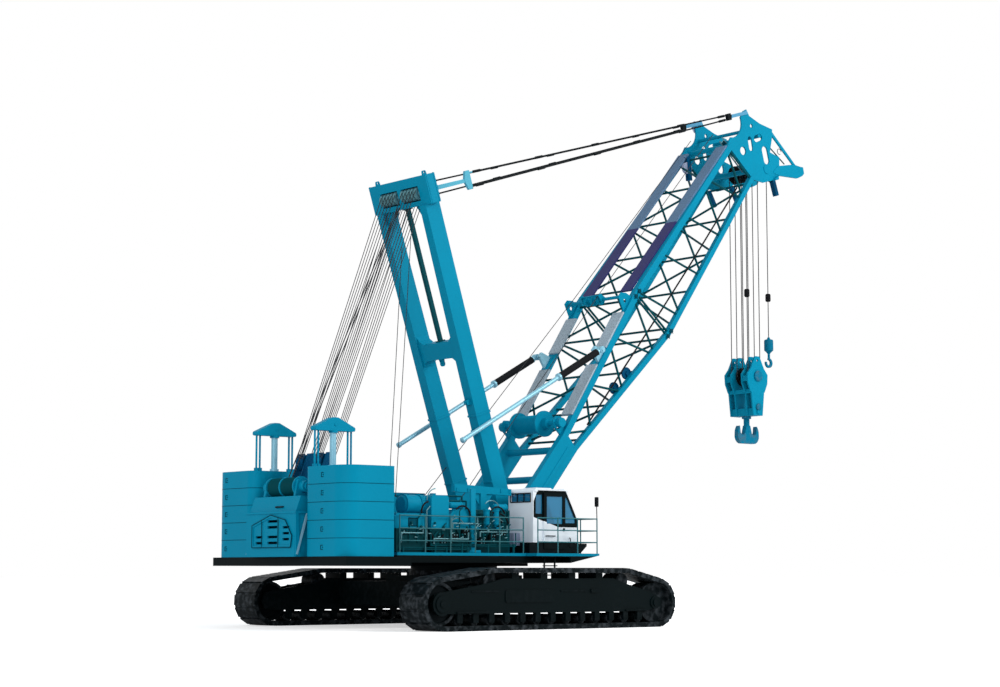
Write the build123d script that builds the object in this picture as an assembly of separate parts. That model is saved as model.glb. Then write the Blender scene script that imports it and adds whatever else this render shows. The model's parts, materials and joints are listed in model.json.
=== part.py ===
from build123d import *
import math
import os

# Crawler crane with a two-section lattice boom, a rear mast, twin counterweight stacks and two hooks.
# Millimetres. The model is built about the slewing axis: X forward, Y to the left, Z up from the ground.
# At the end every piece is moved so that the origin is the bottom centre of the whole crane.

# Fits
seat_gap = 0.3
pin_gap = 4.0

# Tracks
track_gauge = 8440.0
shoe_width = 1140.0
shoe_count = 62
shoe_plate = 45.0
lug_height = 35.0
link_depth = 65.0
lug_share = 0.80
sprocket_x = -4190.0
idler_x = 4150.0
sprocket_radius = 615.0
idler_radius = 595.0
top_run_rear_x = -2350.0
top_run_front_x = 2850.0
top_run_height = 1780.0
corner_roller_radius = 250.0
roller_radius = 150.0
roller_count = 13
roller_pitch = 585.0

# Track side frames
frame_half_width = 400.0
frame_cheek = 90.0
frame_bottom = 480.0
frame_top = 1470.0
frame_rear_x = -3150.0
frame_front_x = 3250.0
ledge_depth = 60.0
final_drive_radius = 330.0
final_drive_reach = 90.0
idler_cap_radius = 190.0
frame_panel_rear = -1850.0
frame_panel_front = 30.0
frame_panel_bottom = 785.0
frame_panel_top = 1144.0

# Carbody and slewing bearing
carbody_half = 1500.0
carbody_bottom = 620.0
carbody_top = 1560.0
axle_beam_width = 760.0
axle_beam_x = 1250.0
axle_beam_top = 1380.0
bearing_radius = 1380.0
bearing_height = 140.0

# Deck
deck_bottom = 1840.0
deck_top = 2240.0
side_deck_top = 2220.0
centre_frame_half = 1250.0
centre_frame_rear = -4990.0
centre_frame_front = 1950.0
side_deck_half = 2750.0
side_deck_bottom = 1930.0
side_deck_front = 1990.0
tray_rear = -6600.0
tray_front = -4300.0
tray_half = 3400.0
tray_top = 2090.0
platform_front = 3180.0
platform_bottom = 2160.0
platform_width = 450.0
housing_rear = -4200.0
housing_front = 300.0
housing_inner = 1850.0
housing_top = 4150.0
deck_beam_outer = 1880.0
deck_beam_inner = 1720.0
hoist_drum_half = 900.0
drum_cover_radius = 700.0
hoist_drum_places = ((-3350.0, 3250.0, True), (-1850.0, 3050.0, False))

# Counterweights
block_count = 5
block_height = 511.0
block_rear = -6590.0
block_front = -4900.0
block_inner = 1300.0
block_outer = 3360.0
block_outer_corner = 560.0
block_inner_corner = 300.0

# Lifting gear on the counterweights
lift_beam_y = 1500.0
lift_beam_rear = -6410.0
lift_beam_front = -5010.0
lift_beam_bottom = 5700.0
lift_beam_height = 110.0
lift_beam_peak = 280.0
lift_rod_radius = 95.0
lift_strap_radius = 30.0

# Rear winch frame between the counterweights
rear_face = -6850.0
winch_frame_half = 1220.0
winch_frame_front = -5000.0
winch_box_top = 3380.0
winch_hood_top = 3830.0
grille_bottom = 2360.0
mast_drum_x = -6250.0
mast_drum_z = 4110.0
mast_drum_radius = 240.0
mast_drum_half = 720.0

# Boom
boom_angle = 50.5
boom_pin_x = 1500.0
boom_pin_z = 3100.0
boom_pin_radius = 75.0
foot_arm_length = 3330.0
foot_arm_upper = 450.0
foot_arm_lower = -320.0
foot_arm_width = 220.0
foot_eye_inner = 1285.0
foot_eye_length = 620.0
boom_joint_s = 9200.0
boom_joint_upper = 1050.0
boom_joint_lower = -1060.0
boom_head_s = 16600.0
boom_head_upper = 930.0
boom_head_lower = -760.0
boom_half = 1420.0
boom_head_half = 1200.0
upper_chord = 220.0
lower_chord = 180.0
brace_radius = 38.0
brace_spread = 60.0
chord_overrun = 40.0

# Boom head
head_plate = 60.0
head_plate_y = 1110.0
head_sheave_s = 17410.0
head_sheave_t = -1000.0
hoist_sheave_radius = 330.0
hoist_sheave_count = 4
hoist_sheave_pitch = 260.0
hoist_sheave_width = 90.0
hoist_rope = 30.0
groove_share = 0.90
aux_sheave_s = 18433.0
aux_sheave_t = -2048.0
aux_sheave_radius = 250.0
pendant_pin_s = 18190.0
pendant_pin_t = 1010.0

# Boom winch and guide sheaves
winch_s = 3620.0
winch_t = 760.0
winch_half = 640.0
guide_sheave_s = (6230.0, 6985.0)
guide_sheave_rise = 170.0

# Mast
mast_pin_x = 1200.0
mast_pin_z = 3400.0
mast_pin_radius = 70.0
mast_angle = 108.0
mast_length = 10850.0
mast_leg_foot_y = 950.0
mast_leg_head_y = 1080.0
mast_leg_width = 420.0
mast_leg_depth = 560.0
mast_head_half = 1430.0
mast_head_height = 900.0
mast_head_depth = 380.0
mast_tie_low = 5150.0
mast_tie_high = 5680.0
mast_tie_flare = 330.0
mast_bay_inner = 90.0
mast_bay_outer = 950.0
mast_bay_low = 10100.0
mast_bay_high = 10560.0
mast_sheave_count = 5
mast_sheave_s = 10330.0
mast_sheave_t = 85.0
mast_sheave_radius = 210.0
mast_stay_half = 60.0

# Pendants
pendant_y = 1110.0
pendant_radius = 26.0
pendant_spread_rear = 440.0
pendant_spread_front = 140.0
link_length = 1350.0
link_pin_radius = 40.0
fork_gap = 6.0
fork_plate = 26.0

# Backstops
backstop_y = 1590.0
backstop_pin_s = 6500.0
backstop_pin_t = 1080.0
backstop_tip_x = -1010.0
backstop_tip_z = 5600.0
backstop_tube = 70.0
backstop_sleeve = 112.0
backstop_sleeve_share = 0.31

# Hooks
block_top_z = 9250.0
block_sheave_z = 8550.0
block_bottom_z = 7150.0
hook_bottom_z = 6180.0
hook_half_width = 530.0
ball_top_z = 10060.0

# Cab
cab_rear = 860.0
cab_front = 2670.0
cab_inner_y = -1600.0
cab_outer_y = -2750.0
cab_floor = 2260.0
cab_roof = 4190.0
cab_wall = 60.0
door_rear = 1260.0
door_front = 2130.0
door_bottom = 2360.0
door_top = 4060.0
door_thickness = 55.0
side_pane_z = (3420.0, 4000.0)
rear_pane_z = (3800.0, 4020.0)
inner_pane_z = (3300.0, 3950.0)

# Lugs of the mast's and boom's foot pins, inner and outer Y of each
mast_lug_y = (600.0, 732.0)
middle_lug_y = (1170.0, 1270.0)
boom_lug_y = (1430.0, 1530.0)

walkway_width = 520.0
rail_radius = 17.0
rail_height = 1080.0


def block(x0, x1, y0, y1, z0, z1):
    """Box between two limits on each axis."""
    return Pos(x0, y0, z0) * Solid.make_box(x1 - x0, y1 - y0, z1 - z0)


def side_plate(outline, y0, y1):
    """Plate with its outline in the X-Z plane and its thickness along Y."""
    face = Face(Wire.make_polygon([(x, y0, z) for x, z in outline], close=True))
    return Solid.extrude(face, Vector(0, y1 - y0, 0))


def plan_plate(outline, z0, z1):
    """Plate with its outline in the X-Y plane and its thickness along Z."""
    face = Face(Wire.make_polygon([(x, y, z0) for x, y in outline], close=True))
    return Solid.extrude(face, Vector(0, 0, z1 - z0))


def cross_disc(x, z, radius, y0, y1):
    """Round bar along Y."""
    low, high = min(y0, y1), max(y0, y1)
    return Solid.make_cylinder(radius, high - low, Plane(origin=(x, low, z), z_dir=(0, 1, 0)))


def rod(start, end, radius):
    """Round bar between two points."""
    a, b = Vector(*start), Vector(*end)
    return Solid.make_cylinder(radius, (b - a).length, Plane(origin=a, z_dir=b - a))


def box_beam(start, end, width_y, depth):
    """Square bar between two points; its width is taken along Y as far as it can be."""
    a, b = Vector(*start), Vector(*end)
    plane = Plane(origin=a, x_dir=(0, 1, 0) if abs((b - a).normalized().Y) < 0.9 else (1, 0, 0), z_dir=b - a)
    return Solid.extrude(Face.make_rect(width_y, depth, plane), b - a)


def mirrored(solids):
    """The same pieces on the other side of the machine."""
    return [s.mirror(Plane.XZ) for s in solids]


def both_sides(solids):
    """The pieces and their mirror images."""
    return list(solids) + mirrored(solids)


def weld(solids):
    """Pieces joined to one."""
    return solids[0].fuse(*solids[1:]).solids()


def rounded_plate(outline, radius, y0, y1):
    """Plate like side_plate's with its corners rounded."""
    face = Face(Wire.make_polygon([(x, y0, z) for x, z in outline], close=True))
    face = face.fillet_2d(radius, face.vertices())
    return Solid.extrude(face, Vector(0, y1 - y0, 0))


def slot(start, end, width, y0, y1):
    """Pieces of a bar with round ends between two points of the X-Z plane."""
    (x0, z0), (x1, z1) = start, end
    along = Vector(x1 - x0, 0, z1 - z0)
    nx, nz = -along.Z / along.length * width / 2, along.X / along.length * width / 2
    middle = side_plate([(x0 + nx, z0 + nz), (x1 + nx, z1 + nz), (x1 - nx, z1 - nz), (x0 - nx, z0 - nz)], y0, y1)
    return [middle, cross_disc(x0, z0, width / 2, y0, y1), cross_disc(x1, z1, width / 2, y0, y1)]


def turned_about_y(profile, x, z):
    """Solid turned about an axis along Y; the profile is a list of (y, radius)."""
    face = Face(Wire.make_polygon([(x + r, y, z) for y, r in profile], close=True))
    return Solid.revolve(face, 360.0, Axis((x, 0, z), (0, 1, 0)))


def sheave(x, z, radius, y, width, bore):
    """Rope sheave with its groove, thinner web and bore."""
    half, web = width / 2, width * 0.28
    profile = [(y - half, radius), (y - 0.2 * half, radius * groove_share), (y + 0.2 * half, radius * groove_share), (y + half, radius),
               (y + half, radius * 0.82), (y + web, radius * 0.78), (y + web, bore + 0.25 * radius),
               (y + half, bore + 0.18 * radius), (y + half, bore), (y - half, bore),
               (y - half, bore + 0.18 * radius), (y - web, bore + 0.25 * radius), (y - web, radius * 0.78),
               (y - half, radius * 0.82)]
    return turned_about_y(profile, x, z)


def louvres(x0, x1, y0, y1, z0, z1, count):
    """Level slots through a wall, one above the other, between two heights."""
    pitch = (z1 - z0) / count
    return [block(x0, x1, y0, y1, z0 + k * pitch, z0 + k * pitch + pitch * 0.45) for k in range(count)]


def turned(x, z, angle):
    """Location that stands a piece modelled along +X on a pin, raised by an angle."""
    return Pos(x, 0, z) * Rot(0, -angle, 0)


boom_at = turned(boom_pin_x, boom_pin_z, boom_angle)
mast_at = turned(mast_pin_x, mast_pin_z, mast_angle)


def boom_point(s, t):
    """X and Z of a point given along the boom and across it."""
    a = math.radians(boom_angle)
    return (boom_pin_x + s * math.cos(a) - t * math.sin(a), boom_pin_z + s * math.sin(a) + t * math.cos(a))


def mast_point(s, t):
    """X and Z of a point given along the mast and across it."""
    a = math.radians(mast_angle)
    return (mast_pin_x + s * math.cos(a) - t * math.sin(a), mast_pin_z + s * math.sin(a) + t * math.cos(a))


hook_x = boom_point(head_sheave_s, head_sheave_t)[0]
ball_x = boom_point(aux_sheave_s, aux_sheave_t)[0] - aux_sheave_radius * groove_share - hoist_rope / 2 - seat_gap

# Track loop: the wheels that the belt runs round, in the order of travel, seen from the right
belt_depth = shoe_plate + link_depth
ground_to_link = lug_height + belt_depth
loop_wheels = [
    (sprocket_x, ground_to_link + sprocket_radius, sprocket_radius),
    (idler_x, ground_to_link + idler_radius, idler_radius),
    (top_run_front_x, top_run_height - ground_to_link - corner_roller_radius, corner_roller_radius),
    (top_run_rear_x, top_run_height - ground_to_link - corner_roller_radius, corner_roller_radius),
]


def loop_stretches():
    """Straight and curved stretches of the belt's inner line, each with its length."""
    count = len(loop_wheels)
    headings = []
    for k in range(count):
        x0, z0, r0 = loop_wheels[k]
        x1, z1, r1 = loop_wheels[(k + 1) % count]
        distance = math.hypot(x1 - x0, z1 - z0)
        headings.append(math.atan2(z1 - z0, x1 - x0) + math.asin((r0 - r1) / distance))
    stretches = []
    for k in range(count):
        x0, z0, r0 = loop_wheels[k]
        x1, z1, r1 = loop_wheels[(k + 1) % count]
        heading, turn = headings[k], (headings[(k + 1) % count] - headings[k]) % (2 * math.pi)
        nx, nz = math.sin(heading), -math.cos(heading)
        run = math.hypot(x1 + r1 * nx - x0 - r0 * nx, z1 + r1 * nz - z0 - r0 * nz)
        stretches.append(("line", x0 + r0 * nx, z0 + r0 * nz, heading, run))
        stretches.append(("arc", x1, z1, heading, turn * r1, r1))
    return stretches


def loop_point(distance, offset):
    """Point on the belt at a distance along it and an offset outwards from its inner line."""
    stretches = loop_stretches()
    distance = distance % sum(s[4] for s in stretches)
    for stretch in stretches:
        if distance <= stretch[4]:
            break
        distance -= stretch[4]
    if stretch[0] == "line":
        _, x, z, heading, _ = stretch
        x, z = x + distance * math.cos(heading), z + distance * math.sin(heading)
    else:
        _, x, z, heading, _, radius = stretch
        heading += distance / radius
        x, z = x + radius * math.sin(heading), z - radius * math.cos(heading)
    return x + offset * math.sin(heading), z - offset * math.cos(heading)


def track_belt(side):
    """One fixed belt with its shoes and lugs in the outline."""
    length = sum(s[4] for s in loop_stretches())
    pitch = length / shoe_count
    half_lug = lug_share * pitch / 2
    outer, inner = [], []
    for k in range(shoe_count):
        middle = k * pitch
        for place, offset in (
            (middle - half_lug, belt_depth),
            (middle - half_lug, belt_depth + lug_height),
            (middle + half_lug, belt_depth + lug_height),
            (middle + half_lug, belt_depth),
        ):
            outer.append(loop_point(place, offset))
        inner.append(loop_point(middle - pitch / 4, 0))
        inner.append(loop_point(middle + pitch / 4, 0))
    centre = side * track_gauge / 2
    y0 = centre - shoe_width / 2
    outer_wire = Wire.make_polygon([(x, y0, z) for x, z in outer], close=True)
    inner_wire = Wire.make_polygon([(x, y0, z) for x, z in inner], close=True)
    return [Solid.extrude(Face(outer_wire, [inner_wire]), Vector(0, shoe_width, 0))]


def roller_places():
    """X of each bottom roller."""
    return [(k - (roller_count - 1) / 2) * roller_pitch for k in range(roller_count)]


roller_z = ground_to_link + roller_radius + seat_gap
sprocket_z = loop_wheels[0][1]
idler_z = loop_wheels[1][1]
wheel_half = frame_half_width - frame_cheek - seat_gap


def frame_cheek_outline():
    """Side of a track frame, with a tab over each roller's pin and round ends over the end wheels' pins."""
    tab, tab_bottom = 95.0, roller_z - 70.0
    low = [(frame_rear_x - 700.0, frame_bottom)]
    for x in roller_places():
        low += [(x - tab, frame_bottom), (x - tab, tab_bottom), (x + tab, tab_bottom), (x + tab, frame_bottom)]
    low.append((frame_front_x + 500.0, frame_bottom))
    front = [(idler_x + 260.0, idler_z - 120.0), (idler_x + 260.0, idler_z + 120.0), (idler_x - 250.0, idler_z + 330.0)]
    top = [(top_run_front_x - 60.0, frame_top - 120.0), (top_run_front_x - 420.0, frame_top)]
    rear = [(top_run_rear_x + 420.0, frame_top), (top_run_rear_x - 150.0, frame_top - 140.0)]
    end = [(sprocket_x + 150.0, sprocket_z + 340.0), (sprocket_x - 250.0, sprocket_z + 260.0),
           (sprocket_x - 340.0, sprocket_z), (sprocket_x - 250.0, sprocket_z - 220.0)]
    return low + front + top + rear + end


def track_frame(side):
    """Side frame: two cheeks, a closed middle, skids, ledges, side panel and the final drive's cover."""
    centre = side * track_gauge / 2
    outline = frame_cheek_outline()
    half, core = frame_half_width, frame_half_width - frame_cheek
    parts = [side_plate(outline, centre - half, centre - core), side_plate(outline, centre + core, centre + half)]
    middle = block(frame_rear_x, frame_front_x, centre - core, centre + core, frame_bottom, frame_top - 200.0)
    for x, z, r in loop_wheels[2:]:
        middle = middle.cut(cross_disc(x, z, r + 15.0, centre - half, centre + half))
    parts.append(middle)
    skid_top = top_run_height - ground_to_link - seat_gap
    for x in (-1450.0, -350.0, 750.0, 1850.0):
        parts.append(block(x - 130, x + 130, centre - half, centre + half, frame_top - 210.0, skid_top))
    outside = centre + side * half
    for radius, reach in ((final_drive_radius, 0.6), (final_drive_radius * 0.72, 1.0), (final_drive_radius * 0.3, 1.3)):
        parts.append(cross_disc(sprocket_x, sprocket_z, radius, outside - side * 20.0,
                                outside + side * final_drive_reach * reach))
    for radius, reach in ((idler_cap_radius, 0.4), (idler_cap_radius * 0.55, 0.8)):
        parts.append(cross_disc(idler_x, idler_z, radius, outside - side * 20.0,
                                outside + side * final_drive_reach * reach))
    for x0, x1 in ((frame_rear_x - 500.0, frame_rear_x + 600.0), (frame_front_x - 350.0, frame_front_x + 500.0)):
        parts.append(block(x0, x1, *sorted((outside, outside + side * ledge_depth)),
                           frame_bottom + 20.0, frame_bottom + 55.0))
    panel = [(frame_panel_rear, frame_panel_bottom), (frame_panel_front, frame_panel_bottom),
             (frame_panel_front, frame_panel_top), (frame_panel_rear, frame_panel_top)]
    parts.append(rounded_plate(panel, 80.0, *sorted((outside - side * 10.0, outside + side * 28.0))))
    for x0, x1 in ((frame_panel_rear - 1250.0, frame_panel_rear - 250.0), (frame_panel_front + 250.0, frame_panel_front + 1250.0)):
        parts.append(block(x0, x1, *sorted((outside - side * 10.0, outside + side * 22.0)),
                           frame_panel_top - 60.0, frame_panel_top - 15.0))
    hook = slot((frame_panel_front + 1500.0, frame_panel_top - 40.0), (frame_panel_front + 1700.0, frame_panel_top - 40.0),
                110.0, *sorted((outside - side * 10.0, outside + side * 45.0)))
    return weld(parts + hook)


def in_belt(radius):
    """Radius of a wheel that just fits inside the flats of the belt's inner line."""
    flat = sum(s[4] for s in loop_stretches()) / shoe_count / 2
    return radius * math.cos(flat / 2 / radius) - seat_gap


def track_sprockets():
    """Drive wheels inside the rear ends of the belts, with their webs set back."""
    outer = in_belt(sprocket_radius)
    y0, y1 = track_gauge / 2 - wheel_half, track_gauge / 2 + wheel_half
    profile = [(y0, outer), (y1, outer), (y1, outer - 90.0), (y1 - 70.0, outer - 110.0), (y1 - 70.0, 240.0),
               (y1, 220.0), (y1, 0.0), (y0, 0.0), (y0, 220.0), (y0 + 70.0, 240.0), (y0 + 70.0, outer - 110.0),
               (y0, outer - 90.0)]
    return both_sides([turned_about_y(profile, sprocket_x, sprocket_z)])


def track_idlers():
    """Front wheels and the rollers at the corners of the top run."""
    y0, y1 = track_gauge / 2 - wheel_half, track_gauge / 2 + wheel_half
    wheels = [cross_disc(x, z, in_belt(r), y0, y1) for x, z, r in loop_wheels[1:]]
    return both_sides(wheels)


def track_rollers():
    """Bottom rollers."""
    y0, y1 = track_gauge / 2 - wheel_half, track_gauge / 2 + wheel_half
    return both_sides([cross_disc(x, roller_z, roller_radius, y0, y1) for x in roller_places()])


def carbody():
    """Centre box with its two axle beams."""
    reach = track_gauge / 2 - frame_half_width - seat_gap
    parts = [block(-carbody_half, carbody_half, -carbody_half, carbody_half, carbody_bottom, carbody_top)]
    for x in (-axle_beam_x, axle_beam_x):
        parts.append(block(x - axle_beam_width / 2, x + axle_beam_width / 2, -reach, reach,
                           carbody_bottom, axle_beam_top))
    return weld(parts)


def slewing_bearing():
    """Lower ring of the slewing bearing."""
    ring = Solid.make_cylinder(bearing_radius, bearing_height, Plane.XY)
    hole = Solid.make_cylinder(bearing_radius - 260.0, bearing_height, Plane.XY)
    return (Pos(0, 0, carbody_top + seat_gap) * ring.cut(hole)).solids()


bearing_top = carbody_top + seat_gap + bearing_height


def deck_frame():
    """Turntable: upper ring, centre frame, side decks and the counterweight tray."""
    ring = Pos(0, 0, bearing_top + seat_gap) * Solid.make_cylinder(
        bearing_radius - 40.0, deck_bottom - bearing_top, Plane.XY)
    parts = [ring]
    parts.append(block(centre_frame_rear, centre_frame_front, -centre_frame_half, centre_frame_half,
                       deck_bottom, deck_top))
    parts.append(block(tray_front - 10.0, side_deck_front, -side_deck_half, side_deck_half,
                       side_deck_bottom, side_deck_top))
    parts.append(block(tray_rear, tray_front, -tray_half, tray_half, deck_bottom, tray_top))
    platform = [(side_deck_front - 10.0, side_deck_bottom), (platform_front, platform_bottom),
                (platform_front, side_deck_top), (side_deck_front - 10.0, side_deck_top)]
    parts.append(side_plate(platform, -side_deck_half - platform_width, -1550.0))
    parts.append(block(600.0, side_deck_front, -side_deck_half - platform_width, -side_deck_half + 10.0,
                       side_deck_bottom + 180.0, side_deck_top))
    return weld(parts)


def foot_lugs():
    """Lugs on the centre frame: the mast turns between the inner two, the boom between the outer two."""
    base = deck_top + seat_gap
    mast_lug = [(850.0, base), (1650.0, base), (mast_pin_x + 170.0, mast_pin_z + 60.0),
                (mast_pin_x + 80.0, mast_pin_z + 160.0), (mast_pin_x - 80.0, mast_pin_z + 160.0),
                (mast_pin_x - 170.0, mast_pin_z + 60.0)]
    middle_lug = [(850.0, base), (1930.0, base), (boom_pin_x + 190.0, boom_pin_z + 60.0),
                  (boom_pin_x + 90.0, boom_pin_z + 180.0), (mast_pin_x + 80.0, mast_pin_z + 160.0),
                  (mast_pin_x - 80.0, mast_pin_z + 160.0), (mast_pin_x - 170.0, mast_pin_z + 60.0)]
    boom_lug = [(1050.0, base), (1930.0, base), (boom_pin_x + 190.0, boom_pin_z + 60.0),
                (boom_pin_x + 90.0, boom_pin_z + 180.0), (boom_pin_x - 90.0, boom_pin_z + 180.0),
                (boom_pin_x - 190.0, boom_pin_z + 60.0)]
    mast_bore = cross_disc(mast_pin_x, mast_pin_z, mast_pin_radius, 0.0, 2000.0)
    boom_bore = cross_disc(boom_pin_x, boom_pin_z, boom_pin_radius, 0.0, 2000.0)
    lugs = []
    for outline, y0, y1 in ((mast_lug, *mast_lug_y), (middle_lug, *middle_lug_y), (boom_lug, *boom_lug_y)):
        lugs += side_plate(outline, y0, y1).cut(mast_bore, boom_bore).solids()
    return both_sides(lugs)


def foot_pins():
    """Pins of the mast's and the boom's feet."""
    mast_pin = cross_disc(mast_pin_x, mast_pin_z, mast_pin_radius - seat_gap, mast_lug_y[0], middle_lug_y[1])
    boom_pin = cross_disc(boom_pin_x, boom_pin_z, boom_pin_radius - seat_gap, middle_lug_y[0], boom_lug_y[1])
    return both_sides([mast_pin, boom_pin])


def counterweight(side):
    """One stack of five cast blocks with a wide rounded outer corner."""
    blocks = []
    corner, small = block_outer_corner, block_inner_corner
    inner, outer = side * block_inner, side * block_outer
    lines = [
        Line((block_front, inner), (block_rear + small, inner)),
        ThreePointArc((block_rear + small, inner),
                      (block_rear + small * (1 - math.sqrt(0.5)), inner + side * small * (1 - math.sqrt(0.5))),
                      (block_rear, inner + side * small)),
        Line((block_rear, inner + side * small), (block_rear, outer - side * corner)),
        ThreePointArc((block_rear, outer - side * corner),
                      (block_rear + corner * (1 - math.sqrt(0.5)), outer - side * corner * (1 - math.sqrt(0.5))),
                      (block_rear + corner, outer)),
        Line((block_rear + corner, outer), (block_front, outer)),
        Line((block_front, outer), (block_front, inner)),
    ]
    face = make_face(lines).face()
    for k in range(block_count):
        z = tray_top + seat_gap + k * block_height
        one = Solid.extrude(face, Vector(0, 0, block_height - seat_gap))
        blocks.append(Pos(0, 0, z) * one)
    return blocks


stack_top = tray_top + seat_gap + block_count * block_height - seat_gap


def lifting_gear():
    """Beam with round ends, foot collar and straps that stand on each stack."""
    middle = (lift_beam_front + lift_beam_rear) / 2
    end = lift_beam_height / 2
    outline = [(lift_beam_rear, lift_beam_bottom), (lift_beam_front, lift_beam_bottom),
               (lift_beam_front, lift_beam_bottom + lift_beam_height),
               (middle + 90.0, lift_beam_bottom + lift_beam_height + lift_beam_peak),
               (middle - 90.0, lift_beam_bottom + lift_beam_height + lift_beam_peak),
               (lift_beam_rear, lift_beam_bottom + lift_beam_height)]
    beam = rounded_plate(outline, end * 0.9, lift_beam_y - 130.0, lift_beam_y + 130.0)
    foot = stack_top + seat_gap
    parts = [beam, rod((middle, lift_beam_y, lift_beam_bottom - 55.0), (middle, lift_beam_y, lift_beam_bottom + 20.0),
                       lift_rod_radius + 45.0)]
    parts.append(cross_disc(middle, lift_beam_bottom + 190.0, 45.0, lift_beam_y - 150.0, lift_beam_y + 150.0))
    for x in (lift_beam_rear + 60.0, lift_beam_rear + 180.0, lift_beam_front - 180.0, lift_beam_front - 60.0):
        parts.append(rod((x, lift_beam_y, foot), (x, lift_beam_y, lift_beam_bottom + 20.0), lift_strap_radius))
        parts.append(block(x - 45.0, x + 45.0, lift_beam_y - 60.0, lift_beam_y + 60.0, foot, foot + 90.0))
    return both_sides(weld(parts))


hood_rear = rear_face + 260.0


def hood_height(x):
    """Height of the hood's sloping top."""
    return winch_hood_top - 120.0 * (x - hood_rear) / (winch_frame_front - hood_rear)


def lifting_rods():
    """Cylinder rods that stand on the stacks under the lifting beams."""
    middle = (lift_beam_front + lift_beam_rear) / 2
    foot, top = stack_top + seat_gap, lift_beam_bottom - 55.0 - seat_gap
    collar = rod((middle, lift_beam_y, foot), (middle, lift_beam_y, foot + 70.0), lift_rod_radius + 40.0)
    return both_sides(weld([collar, rod((middle, lift_beam_y, foot), (middle, lift_beam_y, top), lift_rod_radius)]))


def rear_grille_cuts():
    """Louvre slots in the rear face: a short table of columns, each with its Y limits and slot heights."""
    z0 = grille_bottom
    columns = [
        # y low, y high, slot centres above the grille's foot, slot height
        (420.0, 760.0, (130.0, 300.0), 70.0),
        (-350.0, 150.0, (130.0, 300.0, 580.0, 750.0), 75.0),
        (-950.0, -620.0, (230.0, 400.0, 570.0), 70.0),
    ]
    cuts = []
    for y0, y1, centres, height in columns:
        for z in centres:
            cuts.append(block(rear_face - 60.0, rear_face + 75.0, y0, y1, z0 + z - height / 2, z0 + z + height / 2))
    return cuts


def rear_winch_frame():
    """Housing between the stacks: louvred house-shaped grille, sloping hood, struts and drum brackets."""
    half = winch_frame_half
    base = tray_top + seat_gap
    box = block(rear_face + 30.0, winch_frame_front, -half, half, base, winch_box_top)
    box = box.cut(block(rear_face + 75.0, winch_frame_front - 60.0, -half + 60.0, half - 60.0, base + 60.0,
                        winch_box_top + 10.0))
    frame_outline = [(920.0, grille_bottom), (920.0, grille_bottom + 640.0), (-40.0, grille_bottom + 930.0),
                     (-780.0, grille_bottom + 780.0), (-1120.0, grille_bottom + 330.0), (-1060.0, grille_bottom)]
    rear_plane = Plane(origin=(rear_face, 0, 0), x_dir=(0, 1, 0), z_dir=(1, 0, 0))
    rim = Face(Wire.make_polygon([rear_plane.from_local_coords((y, z, 0)) for y, z in frame_outline], close=True))
    panel = Solid.extrude(rim, Vector(40.0, 0, 0))
    border = Face(rim.outer_wire().offset_2d(-60.0, kind=Kind.INTERSECTION))
    parts = [box, panel.cut(Solid.extrude(border, Vector(22.0, 0, 0)))]
    shell = weld(parts)[0].cut(*rear_grille_cuts())
    flange = block(rear_face, winch_frame_front, -half - 60.0, half + 60.0, winch_box_top - 50.0, winch_box_top)
    flange = flange.cut(block(rear_face + 120.0, winch_frame_front - 120.0, -half + 120.0, half - 120.0,
                              winch_box_top - 60.0, winch_box_top + 10.0))
    hood = [(rear_face + 90.0, winch_box_top - 10.0), (winch_frame_front, winch_box_top - 10.0),
            (winch_frame_front, hood_height(winch_frame_front)), (hood_rear, winch_hood_top)]
    parts = [shell, flange, side_plate(hood, -half + 40.0, half - 40.0)]
    bracket = [(mast_drum_x - 300.0, winch_hood_top - 60.0), (mast_drum_x + 420.0, winch_hood_top - 120.0),
               (mast_drum_x + 240.0, mast_drum_z + 210.0), (mast_drum_x - 190.0, mast_drum_z + 210.0)]
    motor = cross_disc(mast_drum_x, mast_drum_z, 170.0, mast_drum_half + 60.0, mast_drum_half + 300.0)
    motor_cap = cross_disc(mast_drum_x, mast_drum_z, 110.0, mast_drum_half + 280.0, mast_drum_half + 360.0)
    parts += both_sides([rounded_plate(bracket, 50.0, mast_drum_half + pin_gap, mast_drum_half + 100.0), motor, motor_cap])
    for y in (-half - 55.0, half - 15.0):
        parts.append(side_plate([(rear_face + 40.0, base + 30.0), (rear_face + 190.0, base + 30.0),
                                 (rear_face + 120.0, winch_box_top - 20.0), (rear_face + 30.0, winch_box_top - 20.0)],
                                y, y + 70.0))
    return weld(parts)


def mast_hoist_drum():
    """Grooved drum of the mast hoist with its end flanges."""
    half, radius, pitch = mast_drum_half, mast_drum_radius, 60.0
    profile = [(-half, radius + 60.0), (-half + 50.0, radius + 60.0)]
    for start in (-half + 50.0, 25.0):
        count = int((half - 75.0) / pitch)
        for k in range(count):
            y = start + k * pitch
            profile += [(y, radius), (y + pitch * 0.5, radius - 18.0)]
        profile.append((start + count * pitch, radius))
        if start < 0:
            profile += [(-25.0, radius), (-25.0, radius + 60.0), (25.0, radius + 60.0)]
    profile += [(half - 50.0, radius), (half - 50.0, radius + 60.0), (half, radius + 60.0), (half, 90.0)]
    pin = half + pin_gap - seat_gap
    profile += [(pin, 90.0), (pin, 0.0), (-pin, 0.0), (-pin, 90.0), (-half, 90.0)]
    return [turned_about_y(profile, mast_drum_x, mast_drum_z)]


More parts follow.
